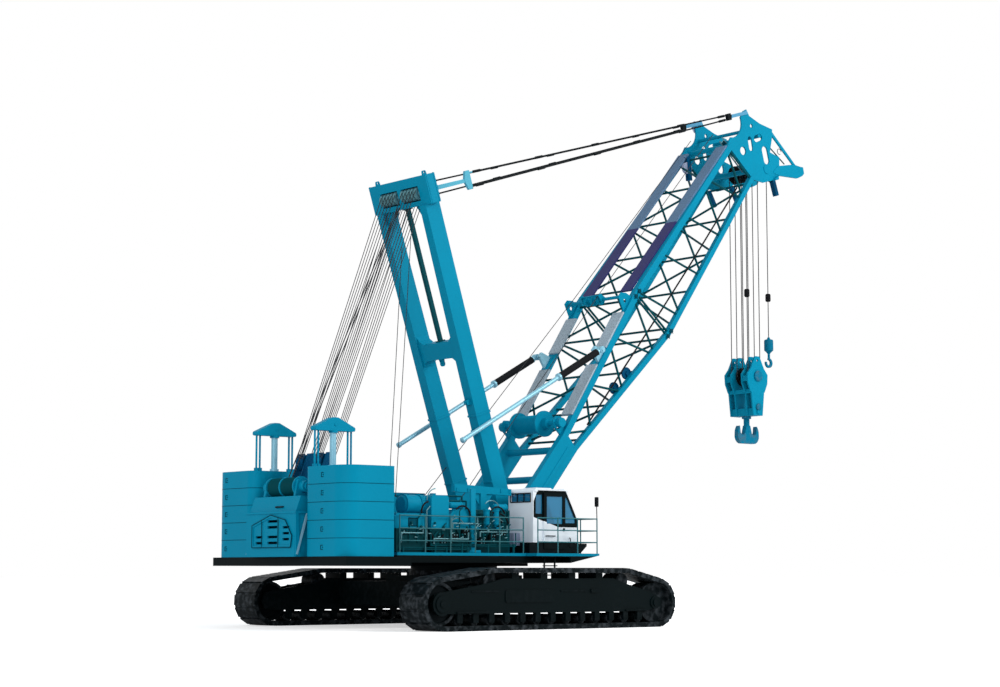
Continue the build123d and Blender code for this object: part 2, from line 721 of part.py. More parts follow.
def mast_hoist_sheaves():
    """Lower sheave blocks that lean along the hoist ropes, each with its row of sheaves."""
    foot_x, foot_z = mast_drum_x + 520.0, winch_hood_top - 40.0
    blocks = []
    for y in (-480.0, 480.0):
        parts = []
        for dy in (-215.0, 215.0):
            cheek = [(foot_x - 130.0, hood_height(foot_x - 130.0) + seat_gap),
                     (foot_x + 190.0, hood_height(foot_x + 190.0) + seat_gap),
                     (foot_x + 680.0, foot_z + 1180.0), (foot_x + 560.0, foot_z + 1370.0), (foot_x + 360.0, foot_z + 1350.0)]
            parts.append(side_plate(cheek, y + dy - 20.0, y + dy + 20.0))
        for k in range(3):
            parts.append(sheave(foot_x + 430.0, foot_z + 1080.0, 240.0, y - 110.0 + 110.0 * k, 84.0, 40.0))
        parts.append(cross_disc(foot_x + 430.0, foot_z + 1080.0, 60.0, y - 240.0, y + 240.0))
        parts.append(block(foot_x - 60.0, foot_x + 120.0, y - 200.0, y + 200.0, foot_z + 40.0, foot_z + 160.0))
        parts.append(rod((foot_x + 290.0, y - 215.0, foot_z + 560.0), (foot_x + 290.0, y + 215.0, foot_z + 560.0), 45.0))
        blocks += weld(parts)
    return blocks


def deck_beam():
    """Post, beam and corner gusset beside the right mast leg, over the side deck."""
    y0, y1 = -deck_beam_outer, -deck_beam_inner
    post_rear, post_front, top = -480.0, -250.0, 4290.0
    parts = [
        block(post_rear, post_front, y0, y1, side_deck_top + seat_gap, 4180.0),
        side_plate([(-1500.0, 4050.0), (740.0, 3980.0), (740.0, 4180.0), (-1500.0, top)], y0, y1),
        side_plate([(post_rear - 330.0, 4080.0), (post_rear + 10.0, 3640.0), (post_rear + 10.0, 4080.0)],
                   y0 + 50.0, y1 - 50.0),
        side_plate([(post_front + 330.0, 4060.0), (post_front - 10.0, 3640.0), (post_front - 10.0, 4060.0)],
                   y0 + 50.0, y1 - 50.0),
        block(post_rear - 60.0, post_front + 60.0, y0 - 12.0, y1 + 12.0, side_deck_top + seat_gap, side_deck_top + 40.0),
    ]
    for x in (-1440.0, -1000.0, 300.0, 640.0):
        parts.append(block(x, x + 40.0, y0 - 25.0, y1 + 25.0, 4060.0, 4170.0))
    return weld(parts)


def main_hoist_drums():
    """Two grooved rope drums between side plates, the rear one under a rounded cover."""
    solids = []
    half, pitch = hoist_drum_half, 60.0
    for x, z, covered in hoist_drum_places:
        profile = [(-half, 0.0), (-half, 520.0), (-half + 40.0, 520.0)]
        for k in range(int((2 * half - 80.0) / pitch)):
            y = -half + 40.0 + k * pitch
            profile += [(y, 360.0), (y + pitch / 2, 340.0)]
        profile += [(half - 40.0, 360.0), (half - 40.0, 520.0), (half, 520.0), (half, 0.0)]
        parts = [turned_about_y(profile, x, z), cross_disc(x, z, 120.0, -half - 60.0, half + 60.0)]
        for side in (-1, 1):
            y0, y1 = sorted((side * (half + 10.0), side * (half + 100.0)))
            plate = [(x - 520.0, deck_top + seat_gap), (x + 520.0, deck_top + seat_gap), (x + 380.0, z + 380.0),
                     (x - 380.0, z + 380.0)]
            stand = side_plate(plate, y0, y1)
            parts.append(stand.cut(*[cross_disc(x + dx, deck_top + 330.0, 90.0, y0 - 10.0, y1 + 10.0) for dx in (-250.0, 250.0)]))
            parts.append(cross_disc(x, z, 260.0, side * (half + 90.0), side * (half + 260.0)))
            if covered:
                parts.append(cross_disc(x, z, drum_cover_radius, y0, y1))
        if covered:
            cover = cross_disc(x, z, drum_cover_radius, -half - 100.0, half + 100.0)
            cover = cover.cut(cross_disc(x, z, drum_cover_radius - 25.0, -half - 200.0, half + 200.0))
            below = block(x - 2000.0, x + 2000.0, -half - 200.0, half + 200.0, z - 2000.0, z + 330.0)
            parts += cover.cut(below).solids()
        solids += weld(parts)
    return solids


def engine_block():
    """Engine under the left housing, as one plain mass."""
    width = side_deck_half - housing_inner
    return [block(-2300.0, -500.0, housing_inner + 0.12 * width, side_deck_half - 0.22 * width, side_deck_top + seat_gap, housing_top - 950.0)]


def left_housing():
    """Engine and cooler housing on the left deck: sloped roof edge, louvred doors, exhaust and air intake."""
    z0, wall = side_deck_top + seat_gap, 60.0
    y0, y1 = housing_inner, side_deck_half
    slope = 0.24 * (y1 - y0)

    def section(inset, bottom):
        """Outline of the housing in the Y-Z plane."""
        return [(y0 + inset, bottom), (y1 - inset, bottom), (y1 - inset, housing_top - slope - inset * 0.4),
                (y1 - slope - inset * 0.4, housing_top - inset), (y0 + inset, housing_top - inset)]

    def swept(outline, x0, x1):
        """Outline in the Y-Z plane drawn out along X."""
        face = Face(Wire.make_polygon([(x0, y, z) for y, z in outline], close=True))
        return Solid.extrude(face, Vector(x1 - x0, 0, 0))

    shell = swept(section(0.0, z0), housing_rear, housing_front)
    shell = shell.cut(swept(section(wall, z0 - 10.0), housing_rear + wall, housing_front - wall))
    parts = []
    doors, width = 4, (housing_front - housing_rear) / 4
    for k in range(doors):
        x = housing_rear + k * width
        if k in (0, 2):
            shell = shell.cut(*louvres(x + 200.0, x + width - 200.0, y1 - 100.0, y1 + 30.0, z0 + 700.0, z0 + 1400.0, 9))
        else:
            parts.append(block(x + 60.0, x + width - 60.0, y1 - 5.0, y1 + 18.0, z0 + 120.0, z0 + 1550.0))
        parts.append(block(x + width / 2 - 60.0, x + width / 2 + 60.0, y1 - 5.0, y1 + 45.0, z0 + 600.0, z0 + 630.0))
    shell = shell.cut(*louvres(housing_rear - 10.0, housing_rear + 100.0, y0 + 0.17 * (y1 - y0), y1 - 0.17 * (y1 - y0), z0 + 500.0, z0 + 1500.0, 12))
    middle = (y0 + y1) / 2
    parts.append(rod((housing_rear + 2300.0, middle, housing_top - 20.0), (housing_rear + 2300.0, middle, housing_top + 420.0), 85.0))
    parts.append(rod((housing_rear + 3100.0, middle, housing_top - 20.0), (housing_rear + 3100.0, middle, housing_top + 230.0), 70.0))
    parts.append(rod((housing_rear + 3100.0, middle, housing_top + 210.0), (housing_rear + 3100.0, middle, housing_top + 330.0), 150.0))
    return weld([shell, *parts])


def right_housings():
    """Vent box, hydraulic tank, pump cover and valve chest on the right deck."""
    z0 = side_deck_top + seat_gap
    outer, inner = -side_deck_half + 150.0, -deck_beam_outer - 20.0
    width = inner - outer
    vent = rounded_plate([(-4250.0, z0), (-3150.0, z0), (-3150.0, 3350.0), (-4250.0, 3350.0)], 40.0, outer, inner)
    vent = vent.cut(*louvres(-4120.0, -3280.0, outer - 10.0, outer + 80.0, 2950.0, 3270.0, 5))
    tank = rounded_plate([(-2950.0, z0), (-2300.0, z0), (-2300.0, 3900.0), (-2950.0, 3900.0)], 110.0, outer, inner)
    cap = rod((-2625.0, (outer + inner) / 2, 3880.0), (-2625.0, (outer + inner) / 2, 3960.0), 90.0)
    tank = weld([tank, cap, block(-2960.0, -2290.0, outer - 12.0, inner + 12.0, 3300.0, 3350.0),
                 block(-2960.0, -2290.0, outer - 12.0, inner + 12.0, 2600.0, 2650.0)])
    cover = rounded_plate([(-2200.0, z0), (-1250.0, z0), (-1250.0, 3300.0), (-1450.0, 3500.0), (-2000.0, 3500.0),
                           (-2200.0, 3300.0)], 60.0, outer + 0.14 * width, inner)
    cover = weld([cover, cross_disc(-1725.0, 2950.0, 230.0, outer + 0.08 * width, outer + 0.16 * width)])
    chest = [block(-1150.0, 150.0, outer + 0.28 * width, inner, z0, 2650.0)]
    for k in range(6):
        x = -1080.0 + k * 200.0
        chest.append(block(x, x + 120.0, outer + 0.33 * width, inner - 0.08 * width, 2640.0, 3000.0 - 60.0 * (k % 2)))
        y = outer + 0.5 * width
        chest.append(rod((x + 60.0, y, 2930.0), (x + 60.0, y, 3060.0), 32.0))
    return [vent, *tank, *cover, *weld(chest)]


def backstop_receivers():
    """Posts on the deck that stop the backstops when the boom stands steep."""
    post = block(-2150.0, -1800.0, backstop_y - 120.0, backstop_y + 120.0, side_deck_top + seat_gap, 3560.0)
    return both_sides([post])


def hydraulic_pipes():
    """Pipe runs along the right deck, with risers, on their blocks."""
    z0, y0 = side_deck_top + seat_gap, -side_deck_half + 110.0
    solids = []
    for k, (x0, x1, rise) in enumerate(((-4150.0, -1500.0, 420.0), (-3000.0, 250.0, 300.0))):
        y, z = y0, z0 + 90.0 + 110.0 * k
        parts = []
        for row in range(2):
            zr = z + row * 45.0
            points = [(x0, y, zr + rise), (x0, y, zr), (x1, y, zr), (x1, y, zr + rise + 60.0 * row)]
            if k == 0:
                points = points[1:]
            for a, b in zip(points, points[1:]):
                parts.append(rod(a, b, 17.0))
            for p in points[1:-1] if k else points[1:2]:
                parts.append(Pos(*p) * Solid.make_sphere(17.0))
        count = 4
        for n in range(count):
            x = x0 + 120.0 + (x1 - x0 - 240.0) * n / (count - 1) + (40.0 if k else 0.0)
            parts.append(block(x - 25.0, x + 25.0, y - 26.0, y + 26.0, z0, z + 75.0))
        solids += weld(parts)
    return solids


def handrails():
    """Rails along the right deck and round the cab platform, with feet, and the step under the platform."""
    z0 = side_deck_top + seat_gap
    rail_y, platform_y = -side_deck_half + 20.0 + rail_radius, -side_deck_half - platform_width + 50.0
    runs = [
        [(-4200.0, rail_y), (500.0, rail_y)],
        [(700.0, platform_y), (platform_front - 50.0, platform_y), (platform_front - 50.0, cab_inner_y - 50.0)],
    ]
    parts = []
    for run in runs:
        pieces = []
        for (xa, ya), (xb, yb) in zip(run, run[1:]):
            for share in (0.33, 0.66, 1.0):
                z = z0 + rail_height * share - rail_radius
                pieces.append(rod((xa, ya, z), (xb, yb, z), rail_radius))
                pieces.append(Pos(xb, yb, z) * Solid.make_sphere(rail_radius))
            length = math.hypot(xb - xa, yb - ya)
            count = max(1, round(length / 950.0))
            for k in range(count + 1):
                x, y = xa + (xb - xa) * k / count, ya + (yb - ya) * k / count
                pieces.append(rod((x, y, z0), (x, y, z0 + rail_height), rail_radius + 2.0))
        parts += weld(pieces)
    return parts


def cab_steps():
    """Hanging step under the cab platform's outer edge."""
    top, low = side_deck_bottom + 180.0 - seat_gap, side_deck_bottom - 380.0
    y = -side_deck_half - platform_width + 120.0
    parts = []
    for x in (1000.0, 1420.0):
        parts.append(block(x, x + 30.0, y - 25.0, y + 25.0, low, top))
    for z in (low, (low + top) / 2):
        parts.append(block(1000.0, 1450.0, y - 110.0, y + 60.0, z, z + 30.0))
    return weld(parts)


def cab_side_outline(inset):
    """Outline of the cab's side, drawn in by a wall's thickness."""
    w = inset
    return [(cab_rear + w, cab_floor + w), (cab_front - w, cab_floor + w), (cab_front + 10.0 - w, cab_floor + 840.0),
            (cab_front - 10.0 - w, cab_floor + 1015.0), (cab_front - 470.0 - 0.6 * w, cab_roof - 20.0 - w),
            (cab_rear + 140.0, cab_roof - w), (cab_rear + w, cab_roof - 90.0 - 0.5 * w)]


def cab_shell():
    """Hollow cab with rounded corners, door opening, side, rear, front and roof windows, rail and stand."""
    shell = rounded_plate(cab_side_outline(0.0), 55.0, cab_outer_y, cab_inner_y)
    shell = shell.cut(side_plate(cab_side_outline(cab_wall), cab_outer_y + cab_wall, cab_inner_y - cab_wall))
    y0, y1 = cab_outer_y - 5.0, cab_inner_y + 5.0
    shell = shell.cut(block(door_rear + 50.0, door_front - 50.0, y0, cab_outer_y + 2 * cab_wall,
                            door_bottom + 50.0, door_top - 50.0))
    shell = shell.cut(block(cab_rear + 110.0, door_rear - 30.0, y0, y1, *side_pane_z))
    front = [(door_front + 40.0, cab_floor + 890.0), (cab_front - 90.0, cab_floor + 890.0),
             (cab_front - 90.0, cab_floor + 1020.0), (cab_front - 430.0, cab_roof - 260.0), (door_front + 40.0, cab_roof - 260.0)]
    shell = shell.cut(side_plate(front, y0, y1))
    shell = shell.cut(block(cab_rear - 5.0, cab_rear + 2 * cab_wall, cab_outer_y + 130.0, cab_inner_y - 130.0, *rear_pane_z))
    screen = [(cab_front - 200.0, cab_floor + 440.0), (cab_front + 100.0, cab_floor + 440.0),
              (cab_front + 100.0, cab_floor + 1040.0), (cab_front - 330.0, cab_roof - 110.0),
              (cab_front - 500.0, cab_roof - 240.0), (cab_front - 150.0, cab_floor + 990.0)]
    shell = shell.cut(side_plate(screen, cab_outer_y + 90.0, cab_inner_y - 90.0))
    shell = shell.cut(block(door_rear + 50.0, door_front - 50.0, cab_inner_y - 2 * cab_wall, y1, *inner_pane_z))
    stand = block(cab_rear, cab_front, cab_outer_y + 20.0, cab_inner_y - 20.0, side_deck_top + seat_gap,
                  cab_floor + 10.0)
    visor = side_plate([(cab_front - 500.0, cab_roof - 30.0), (cab_front - 330.0, cab_roof - 90.0),
                        (cab_front - 330.0, cab_roof - 60.0), (cab_front - 500.0, cab_roof + 10.0)],
                       cab_outer_y + 60.0, cab_inner_y - 60.0)
    rail_z = door_top + 30.0
    rail = block(door_rear - 350.0, door_front + 40.0, cab_outer_y - 30.0, cab_outer_y + 5.0, rail_z, rail_z + 35.0)
    hatch = block(cab_rear + 350.0, cab_front - 800.0, cab_outer_y + 300.0, cab_inner_y - 300.0, cab_roof - 10.0, cab_roof + 35.0)
    return weld([shell, stand, visor, rail, hatch])


def cab_glass():
    """Fixed panes of the sides, rear wall and front."""
    inset, thick = seat_gap, 8.0
    panes = []
    for y in (cab_outer_y + 20.0, cab_inner_y - 28.0):
        panes.append(block(cab_rear + 110.0 + inset, door_rear - 30.0 - inset, y, y + thick,
                           side_pane_z[0] + inset, side_pane_z[1] - inset))
        front = [(door_front + 40.0 + inset, cab_floor + 890.0 + inset), (cab_front - 90.0 - inset, cab_floor + 890.0 + inset),
                 (cab_front - 90.0 - inset, cab_floor + 1020.0 - inset), (cab_front - 430.0 - inset, cab_roof - 260.0 - inset),
                 (door_front + 40.0 + inset, cab_roof - 260.0 - inset)]
        panes.append(side_plate(front, y, y + thick))
    panes.append(block(cab_rear + 20.0, cab_rear + 28.0, cab_outer_y + 130.0 + inset, cab_inner_y - 130.0 - inset,
                       rear_pane_z[0] + inset, rear_pane_z[1] - inset))
    panes.append(block(door_rear + 50.0 + inset, door_front - 50.0 - inset, cab_inner_y - 28.0,
                       cab_inner_y - 20.0, inner_pane_z[0] + inset, inner_pane_z[1] - inset))
    return panes


def cab_door():
    """Sliding door on the cab's outer side with its window cut."""
    y0 = cab_outer_y - seat_gap - door_thickness
    door = block(door_rear, door_front, y0, cab_outer_y - seat_gap, door_bottom, door_top)
    window = block(door_rear + 110.0, door_front - 110.0, y0 - 5.0, cab_outer_y + 5.0, 3120.0, door_top - 110.0)
    handle = block(door_front - 190.0, door_front - 150.0, y0 - 45.0, y0 + 5.0, 2880.0, 3060.0)
    return door.cut(window).fuse(handle).solids()


def cab_door_glass():
    """Pane of the sliding door."""
    y0 = cab_outer_y - seat_gap - door_thickness / 2
    edge = 110.0 + seat_gap
    return [block(door_rear + edge, door_front - edge, y0 - 4.0, y0 + 4.0, 3120.0 + seat_gap, door_top - edge)]


def operator_seat():
    """Seat on its pedestal, with its consoles."""
    y = (cab_outer_y + cab_inner_y) / 2
    x0, z0 = cab_rear + 430.0, cab_floor + cab_wall + seat_gap
    pedestal = block(x0 + 60.0, x0 + 460.0, y - 180.0, y + 180.0, z0, z0 + 380.0)
    cushion = rounded_plate([(x0, z0 + 380.0 + seat_gap), (x0 + 540.0, z0 + 380.0 + seat_gap), (x0 + 540.0, z0 + 500.0),
                             (x0, z0 + 500.0)], 25.0, y - 250.0, y + 250.0)
    back = rounded_plate([(x0 - 140.0, z0 + 400.0), (x0 - seat_gap, z0 + 400.0), (x0 - seat_gap, z0 + 500.0),
                          (x0 - 100.0, z0 + 1250.0), (x0 - 210.0, z0 + 1250.0)], 15.0, y - 240.0, y + 240.0)
    return [pedestal, cushion, back]


# Boom: places of the chords along the boom, in its own frame (s along, t across, upper side positive)
boom_stations = [
    # s, upper t, lower t, half width
    (foot_arm_length, foot_arm_upper, foot_arm_lower, boom_half),
    (boom_joint_s, boom_joint_upper, boom_joint_lower, boom_half),
    (boom_head_s, boom_head_upper, boom_head_lower, boom_head_half),
]


def boom_section_at(s):
    """Upper t, lower t and half width of the boom at a distance along it."""
    for (s0, u0, l0, h0), (s1, u1, l1, h1) in zip(boom_stations, boom_stations[1:]):
        if s <= s1:
            break
    share = (s - s0) / (s1 - s0)
    return u0 + (u1 - u0) * share, l0 + (l1 - l0) * share, h0 + (h1 - h0) * share


def chord_rise(s0, s1):
    """How far above the upper chord's nominal line a piece sits that rests on a sloping chord."""
    slope = math.atan2(boom_section_at(s1)[0] - boom_section_at(s0)[0], s1 - s0)
    return seat_gap + upper_chord / 2 * (1 / math.cos(slope) - 1)


def chord_centre(s, upper, side):
    """Centre of a chord at a distance along the boom."""
    u, l, h = boom_section_at(s)
    size = upper_chord if upper else lower_chord
    t = u - size / 2 if upper else l + size / 2
    return (s, side * (h - upper_chord / 2), t)


def chords(start, end, side, allowance):
    """Upper and lower chord of one side of a section, each face grown by the allowance."""
    solids = []
    for upper, size in ((True, upper_chord), (False, lower_chord)):
        a, b = Vector(*chord_centre(start, upper, side)), Vector(*chord_centre(end, upper, side))
        over = (b - a).normalized() * (chord_overrun + (chord_overrun if allowance > 0.0 else 0.0))
        solids.append(box_beam(a - over, b + over, size + 2 * allowance, size + 2 * allowance))
    return solids


def chord_pins(s, upper, side):
    """Heads of the pin that joins two sections' chords, on one side of the joint."""
    x, y, z = chord_centre(s, upper, side)
    half = (upper_chord if upper else lower_chord) / 2
    return cross_disc(x, z, half * 0.62, y - half - 22.0, y + half + 22.0)


def boom_foot_section():
    """Foot section: two sides, each a deep arm with the foot pin's bore that carries its two chords."""
    solids = []
    for side in (-1, 1):
        outer = side * boom_half
        inner = side * (boom_half - foot_arm_width)
        narrow = side * foot_eye_inner
        arm = [(foot_eye_length, foot_arm_lower + 40.0), (foot_eye_length + 200.0, foot_arm_lower),
               (foot_arm_length + 60.0, foot_arm_lower), (foot_arm_length + 200.0, foot_arm_upper),
               (foot_eye_length + 200.0, foot_arm_upper), (foot_eye_length, foot_arm_upper - 60.0)]
        eye = [(-80.0, -150.0), (foot_eye_length + 20.0, foot_arm_lower + 40.0),
               (foot_eye_length + 20.0, foot_arm_upper - 60.0), (-80.0, 150.0)]
        parts = [side_plate(arm, min(outer, inner), max(outer, inner))]
        parts.append(side_plate(eye, min(outer, narrow), max(outer, narrow)))
        parts.append(cross_disc(0.0, 0.0, boom_pin_radius * 2.1, outer, narrow))
        parts += chords(foot_arm_length - 20.0, boom_joint_s, side, 0.0)
        parts += [chord_pins(boom_joint_s - 130.0, upper, side) for upper in (True, False)]
        rib = sorted((outer, outer + side * 18.0))
        parts.append(side_plate([(foot_eye_length + 350.0, -50.0), (foot_arm_length - 150.0, -50.0),
                                 (foot_arm_length - 120.0, 60.0), (foot_eye_length + 350.0, 60.0)], *rib))
        bore = cross_disc(0.0, 0.0, boom_pin_radius, outer - side * 600.0, outer + side * 100.0)
        beyond = block(boom_joint_s - seat_gap / 2, boom_joint_s + 900.0, -2000.0, 2000.0, -2000.0, 2000.0)
        solids += weld(parts)[0].cut(bore, beyond).solids()
    return [boom_at * s for s in solids]


def boom_top_section():
    """Top section: its four chords with the heads of their joint pins."""
    solids = []
    before = block(boom_joint_s - 900.0, boom_joint_s + seat_gap / 2, -2000.0, 2000.0, -2000.0, 2000.0)
    beyond = block(boom_head_s, boom_head_s + 900.0, -2000.0, 2000.0, -2000.0, 2000.0)
    for side in (-1, 1):
        for upper, chord in zip((True, False), chords(boom_joint_s, boom_head_s, side, 0.0)):
            solids += weld([chord, chord_pins(boom_joint_s + 130.0, upper, side)])[0].cut(before, beyond).solids()
    return [boom_at * s for s in solids]


def boom_side_braces():
    """Zigzag tubes of both sides of both sections, each cut to the faces of its chords."""
    solids = []
    for start, end, panels in ((foot_arm_length + 40.0, boom_joint_s, 3), (boom_joint_s, boom_head_s, 4)):
        step = (end - start) / panels
        for side in (-1, 1):
            grown = chords(start, end, side, seat_gap)
            lines = [(start + brace_spread, start + brace_spread)] if start > boom_joint_s - 1.0 else []
            lines.append((end - brace_spread, end - brace_spread))
            for k in range(panels):
                high, low = start + k * step, start + (k + 0.5) * step
                lines.append((high + 2.4 * brace_spread, low - brace_spread))
                lines.append((high + step - 2.4 * brace_spread, low + brace_spread))
            for high, low in lines:
                tube = rod(chord_centre(high, True, side), chord_centre(low, False, side), brace_radius)
                solids += tube.cut(*grown).solids()
    return [boom_at * s for s in solids]


def boom_lacing():
    """Cross tubes and diagonals of the upper and lower faces, each cut to the chords' inner faces."""
    solids = []
    faces = [
        # first station, last station, bays, upper face, side where the first diagonal starts
        (foot_arm_length + 950.0, boom_joint_s - 250.0, 3, True, 1),
        (foot_arm_length + 500.0, boom_joint_s - 250.0, 3, False, 1),
        (boom_joint_s + 250.0, boom_head_s - 300.0, 4, True, 1),
        (boom_joint_s + 250.0, boom_head_s - 300.0, 4, False, -1),
    ]
    for start, end, bays, upper, first in faces:
        step = (end - start) / bays
        section = (start, boom_joint_s) if end < boom_joint_s else (boom_joint_s, end)
        grown = [chords(*section, side, seat_gap)[0 if upper else 1] for side in (-1, 1)]
        lines = [(start + k * step, start + k * step, 1) for k in range(bays + 1)]
        lines += [(start + k * step + 2.4 * brace_spread, start + (k + 1) * step - 2.4 * brace_spread, -first if k % 2 else first)
                  for k in range(bays)]
        for s0, s1, side in lines:
            tube = rod(chord_centre(s0, upper, side), chord_centre(s1, upper, -side), brace_radius)
            solids += tube.cut(*grown).solids()
    return [boom_at * p for p in solids]




def boom_foot_ties():
    """Cross tubes between the foot arms."""
    reach = boom_half - foot_arm_width - seat_gap
    tubes = [cross_disc(s, t, r, -reach, reach) for s, t, r in ((1900.0, 0.0, 110.0), (3000.0, 150.0, 110.0))]
    return [boom_at * t for t in tubes]


def from_head(s, t):
    """Point of the head given from the end of the top section."""
    return (boom_head_s + s, t)


def head_plate_rim():
    """Outline of a head plate with the scoop behind the pendant arm as an arc."""
    pin, sheave_axis = (pendant_pin_s, pendant_pin_t), (head_sheave_s, head_sheave_t)
    start = (boom_head_s + seat_gap, boom_head_lower)
    low = [start, from_head(300.0, -1190.0), (sheave_axis[0] - 160.0, sheave_axis[1] - 430.0),
           (sheave_axis[0] + 290.0, sheave_axis[1] - 620.0), (sheave_axis[0] + 820.0, sheave_axis[1] - 190.0),
           (sheave_axis[0] + 600.0, sheave_axis[1] + 260.0), from_head(1930.0, -470.0), from_head(2150.0, -300.0),
           from_head(1830.0, 270.0), (pin[0] + 45.0, pin[1] - 190.0), (pin[0] + 120.0, pin[1] + 60.0),
           (pin[0] - 30.0, pin[1] + 120.0), (pin[0] - 330.0, pin[1] + 80.0)]
    lines = [Line(a, b) for a, b in zip(low, low[1:])]
    scoop_end = from_head(330.0, boom_head_upper + 60.0)
    lines.append(ThreePointArc(low[-1], from_head(930.0, boom_head_upper - 120.0), scoop_end))
    lines.append(Line(scoop_end, from_head(seat_gap, boom_head_upper)))
    lines.append(Line(from_head(seat_gap, boom_head_upper), start))
    return lines


def boom_head():
    """Two windowed side plates with pendant lugs, curved noses, struts, cross tubes and rope guides."""
    rim = make_face(head_plate_rim()).face()
    blank = Solid.extrude(rim, Vector(0, 0, head_plate))
    nose_root, nose_tip = (head_sheave_s + 180.0, head_sheave_t - 420.0), (aux_sheave_s + 340.0, aux_sheave_t - 120.0)
    parts = []
    for side in (-1, 1):
        y = side * head_plate_y
        one = Pos(0, y + head_plate / 2, 0) * (Rot(90, 0, 0) * blank)
        y0, y1 = y - head_plate, y + head_plate
        one = one.cut(*slot(from_head(1050.0, -800.0), from_head(1260.0, -500.0), 290.0, y0, y1))
        one = one.cut(*slot(from_head(800.0, 30.0), from_head(1000.0, 280.0), 210.0, y0, y1))
        one = one.cut(*slot(from_head(1270.0, 60.0), from_head(1440.0, -30.0), 250.0, y0, y1))
        one = one.cut(cross_disc(*from_head(1440.0, 520.0), 70.0, y0, y1))
        one = one.cut(cross_disc(*from_head(420.0, 250.0), 150.0, y0, y1))
        boss = cross_disc(head_sheave_s, head_sheave_t, 170.0, y - head_plate / 2 - 25.0, y + head_plate / 2 + 25.0)
        nose = [(nose_root[0] - 60.0, nose_root[1] + 130.0), (nose_root[0] + 120.0, nose_root[1] - 190.0),
                (aux_sheave_s - 90.0, aux_sheave_t - 290.0), (aux_sheave_s + 170.0, aux_sheave_t - 415.0),
                (aux_sheave_s + 300.0, aux_sheave_t - 420.0), (nose_tip[0] + 100.0, nose_tip[1] - 120.0), nose_tip,
                (aux_sheave_s + 150.0, aux_sheave_t + 170.0), (nose_root[0] + 330.0, nose_root[1] + 90.0)]
        strut = [from_head(1960.0, -350.0), from_head(2070.0, -370.0), (aux_sheave_s + 210.0, aux_sheave_t + 60.0),
                 (aux_sheave_s + 120.0, aux_sheave_t + 60.0)]
        parts += [one, boss, rounded_plate(nose, 22.0, y - 45.0, y + 45.0), side_plate(strut, y - 30.0, y + 30.0)]
        edge = sorted((y, y + side * 150.0))
        guide_s, guide_t = head_sheave_s + 60.0, head_sheave_t - 540.0
        parts.append(side_plate([(guide_s - 110.0, guide_t + 90.0), (guide_s + 110.0, guide_t + 40.0),
                                 (guide_s + 10.0, guide_t - 60.0), (guide_s - 120.0, guide_t + 20.0)], *edge))
    for s, t, r in ((boom_head_s + 250.0, 700.0, 90.0), (boom_head_s + 200.0, -500.0, 90.0),
                    (pendant_pin_s - 90.0, 0.0, 80.0), (pendant_pin_s - 560.0, 640.0, 60.0)):
        parts.append(cross_disc(s, t, r, -head_plate_y, head_plate_y))
    parts.append(cross_disc(head_sheave_s, head_sheave_t, 90.0, -head_plate_y, head_plate_y))
    parts.append(cross_disc(aux_sheave_s, aux_sheave_t, 60.0, -head_plate_y, head_plate_y))
    return [boom_at * s for s in weld(parts)]


def hoist_sheave_places():
    """Y of each main hoist sheave."""
    return [(k - (hoist_sheave_count - 1) / 2) * hoist_sheave_pitch for k in range(hoist_sheave_count)]


def boom_head_sheaves():
    """Row of grooved sheaves on the head's shaft and the auxiliary sheave at the nose."""
    solids = []
    for y in hoist_sheave_places():
        solids.append(sheave(head_sheave_s, head_sheave_t, hoist_sheave_radius, y, hoist_sheave_width, 90.0 + seat_gap))
    solids.append(sheave(aux_sheave_s, aux_sheave_t, aux_sheave_radius, 0.0, 80.0, 60.0 + seat_gap))
    return [boom_at * s for s in solids]


def boom_walkways():
    """Gratings on both upper chords."""
    parts = []
    runs = [(4150.0, 6150.0), (6850.0, boom_joint_s - 900.0), (boom_joint_s + 50.0, boom_head_s - 100.0)]
    for s0, s1 in runs:
        u0, _, h0 = boom_section_at(s0)
        u1, _, h1 = boom_section_at(s1)
        lift = chord_rise(s0, s1)
        outline = [(s0, u0 + lift), (s1, u1 + lift), (s1, u1 + 60.0), (s0, u0 + 60.0)]
        parts += both_sides([side_plate(outline, min(h0, h1) - walkway_width, min(h0, h1) - 20.0)])
    return [boom_at * p for p in parts]


def boom_winch():
    """Winch between the foot section's upper chords: grooved drum, holed side plates, motor and brackets."""
    s, t, reach, rise = winch_s, winch_t, winch_half, chord_rise(winch_s - 240.0, winch_s + 240.0)
    pitch, count = 60.0, int((2 * reach - 120.0) / 60.0)
    profile = [(-reach, 0.0), (-reach, 420.0), (-reach + 60.0, 420.0)]
    for k in range(count):
        y = -reach + 60.0 + k * pitch
        profile += [(y, 300.0), (y + pitch / 2, 282.0)]
    profile += [(reach - 60.0, 300.0), (reach - 60.0, 420.0), (reach, 420.0), (reach, 0.0)]
    parts = [turned_about_y(profile, s, t), cross_disc(s, t, 80.0, -boom_half + 20.0, boom_half - 20.0)]
    for side in (-1, 1):
        foot = [(s - 240.0, boom_section_at(s - 240.0)[0] + rise), (s + 240.0, boom_section_at(s + 240.0)[0] + rise),
                (s + 220.0, t + 60.0), (s + 90.0, t + 210.0), (s - 90.0, t + 210.0), (s - 220.0, t + 60.0)]
        y0, y1 = sorted((side * (boom_half - 200.0), side * (boom_half - 130.0)))
        plate = side_plate(foot, y0, y1)
        holes = [cross_disc(s + ds, t - 90.0, 55.0, y0 - 10.0, y1 + 10.0) for ds in (-120.0, 120.0)]
        parts.append(plate.cut(*holes))
        parts.append(cross_disc(s, t, 190.0, side * (reach - 10.0), side * (reach + 230.0)))
        parts.append(cross_disc(s, t, 150.0, side * (boom_half - 140.0), side * (boom_half + 60.0)))
    return [boom_at * p for p in weld(parts)]


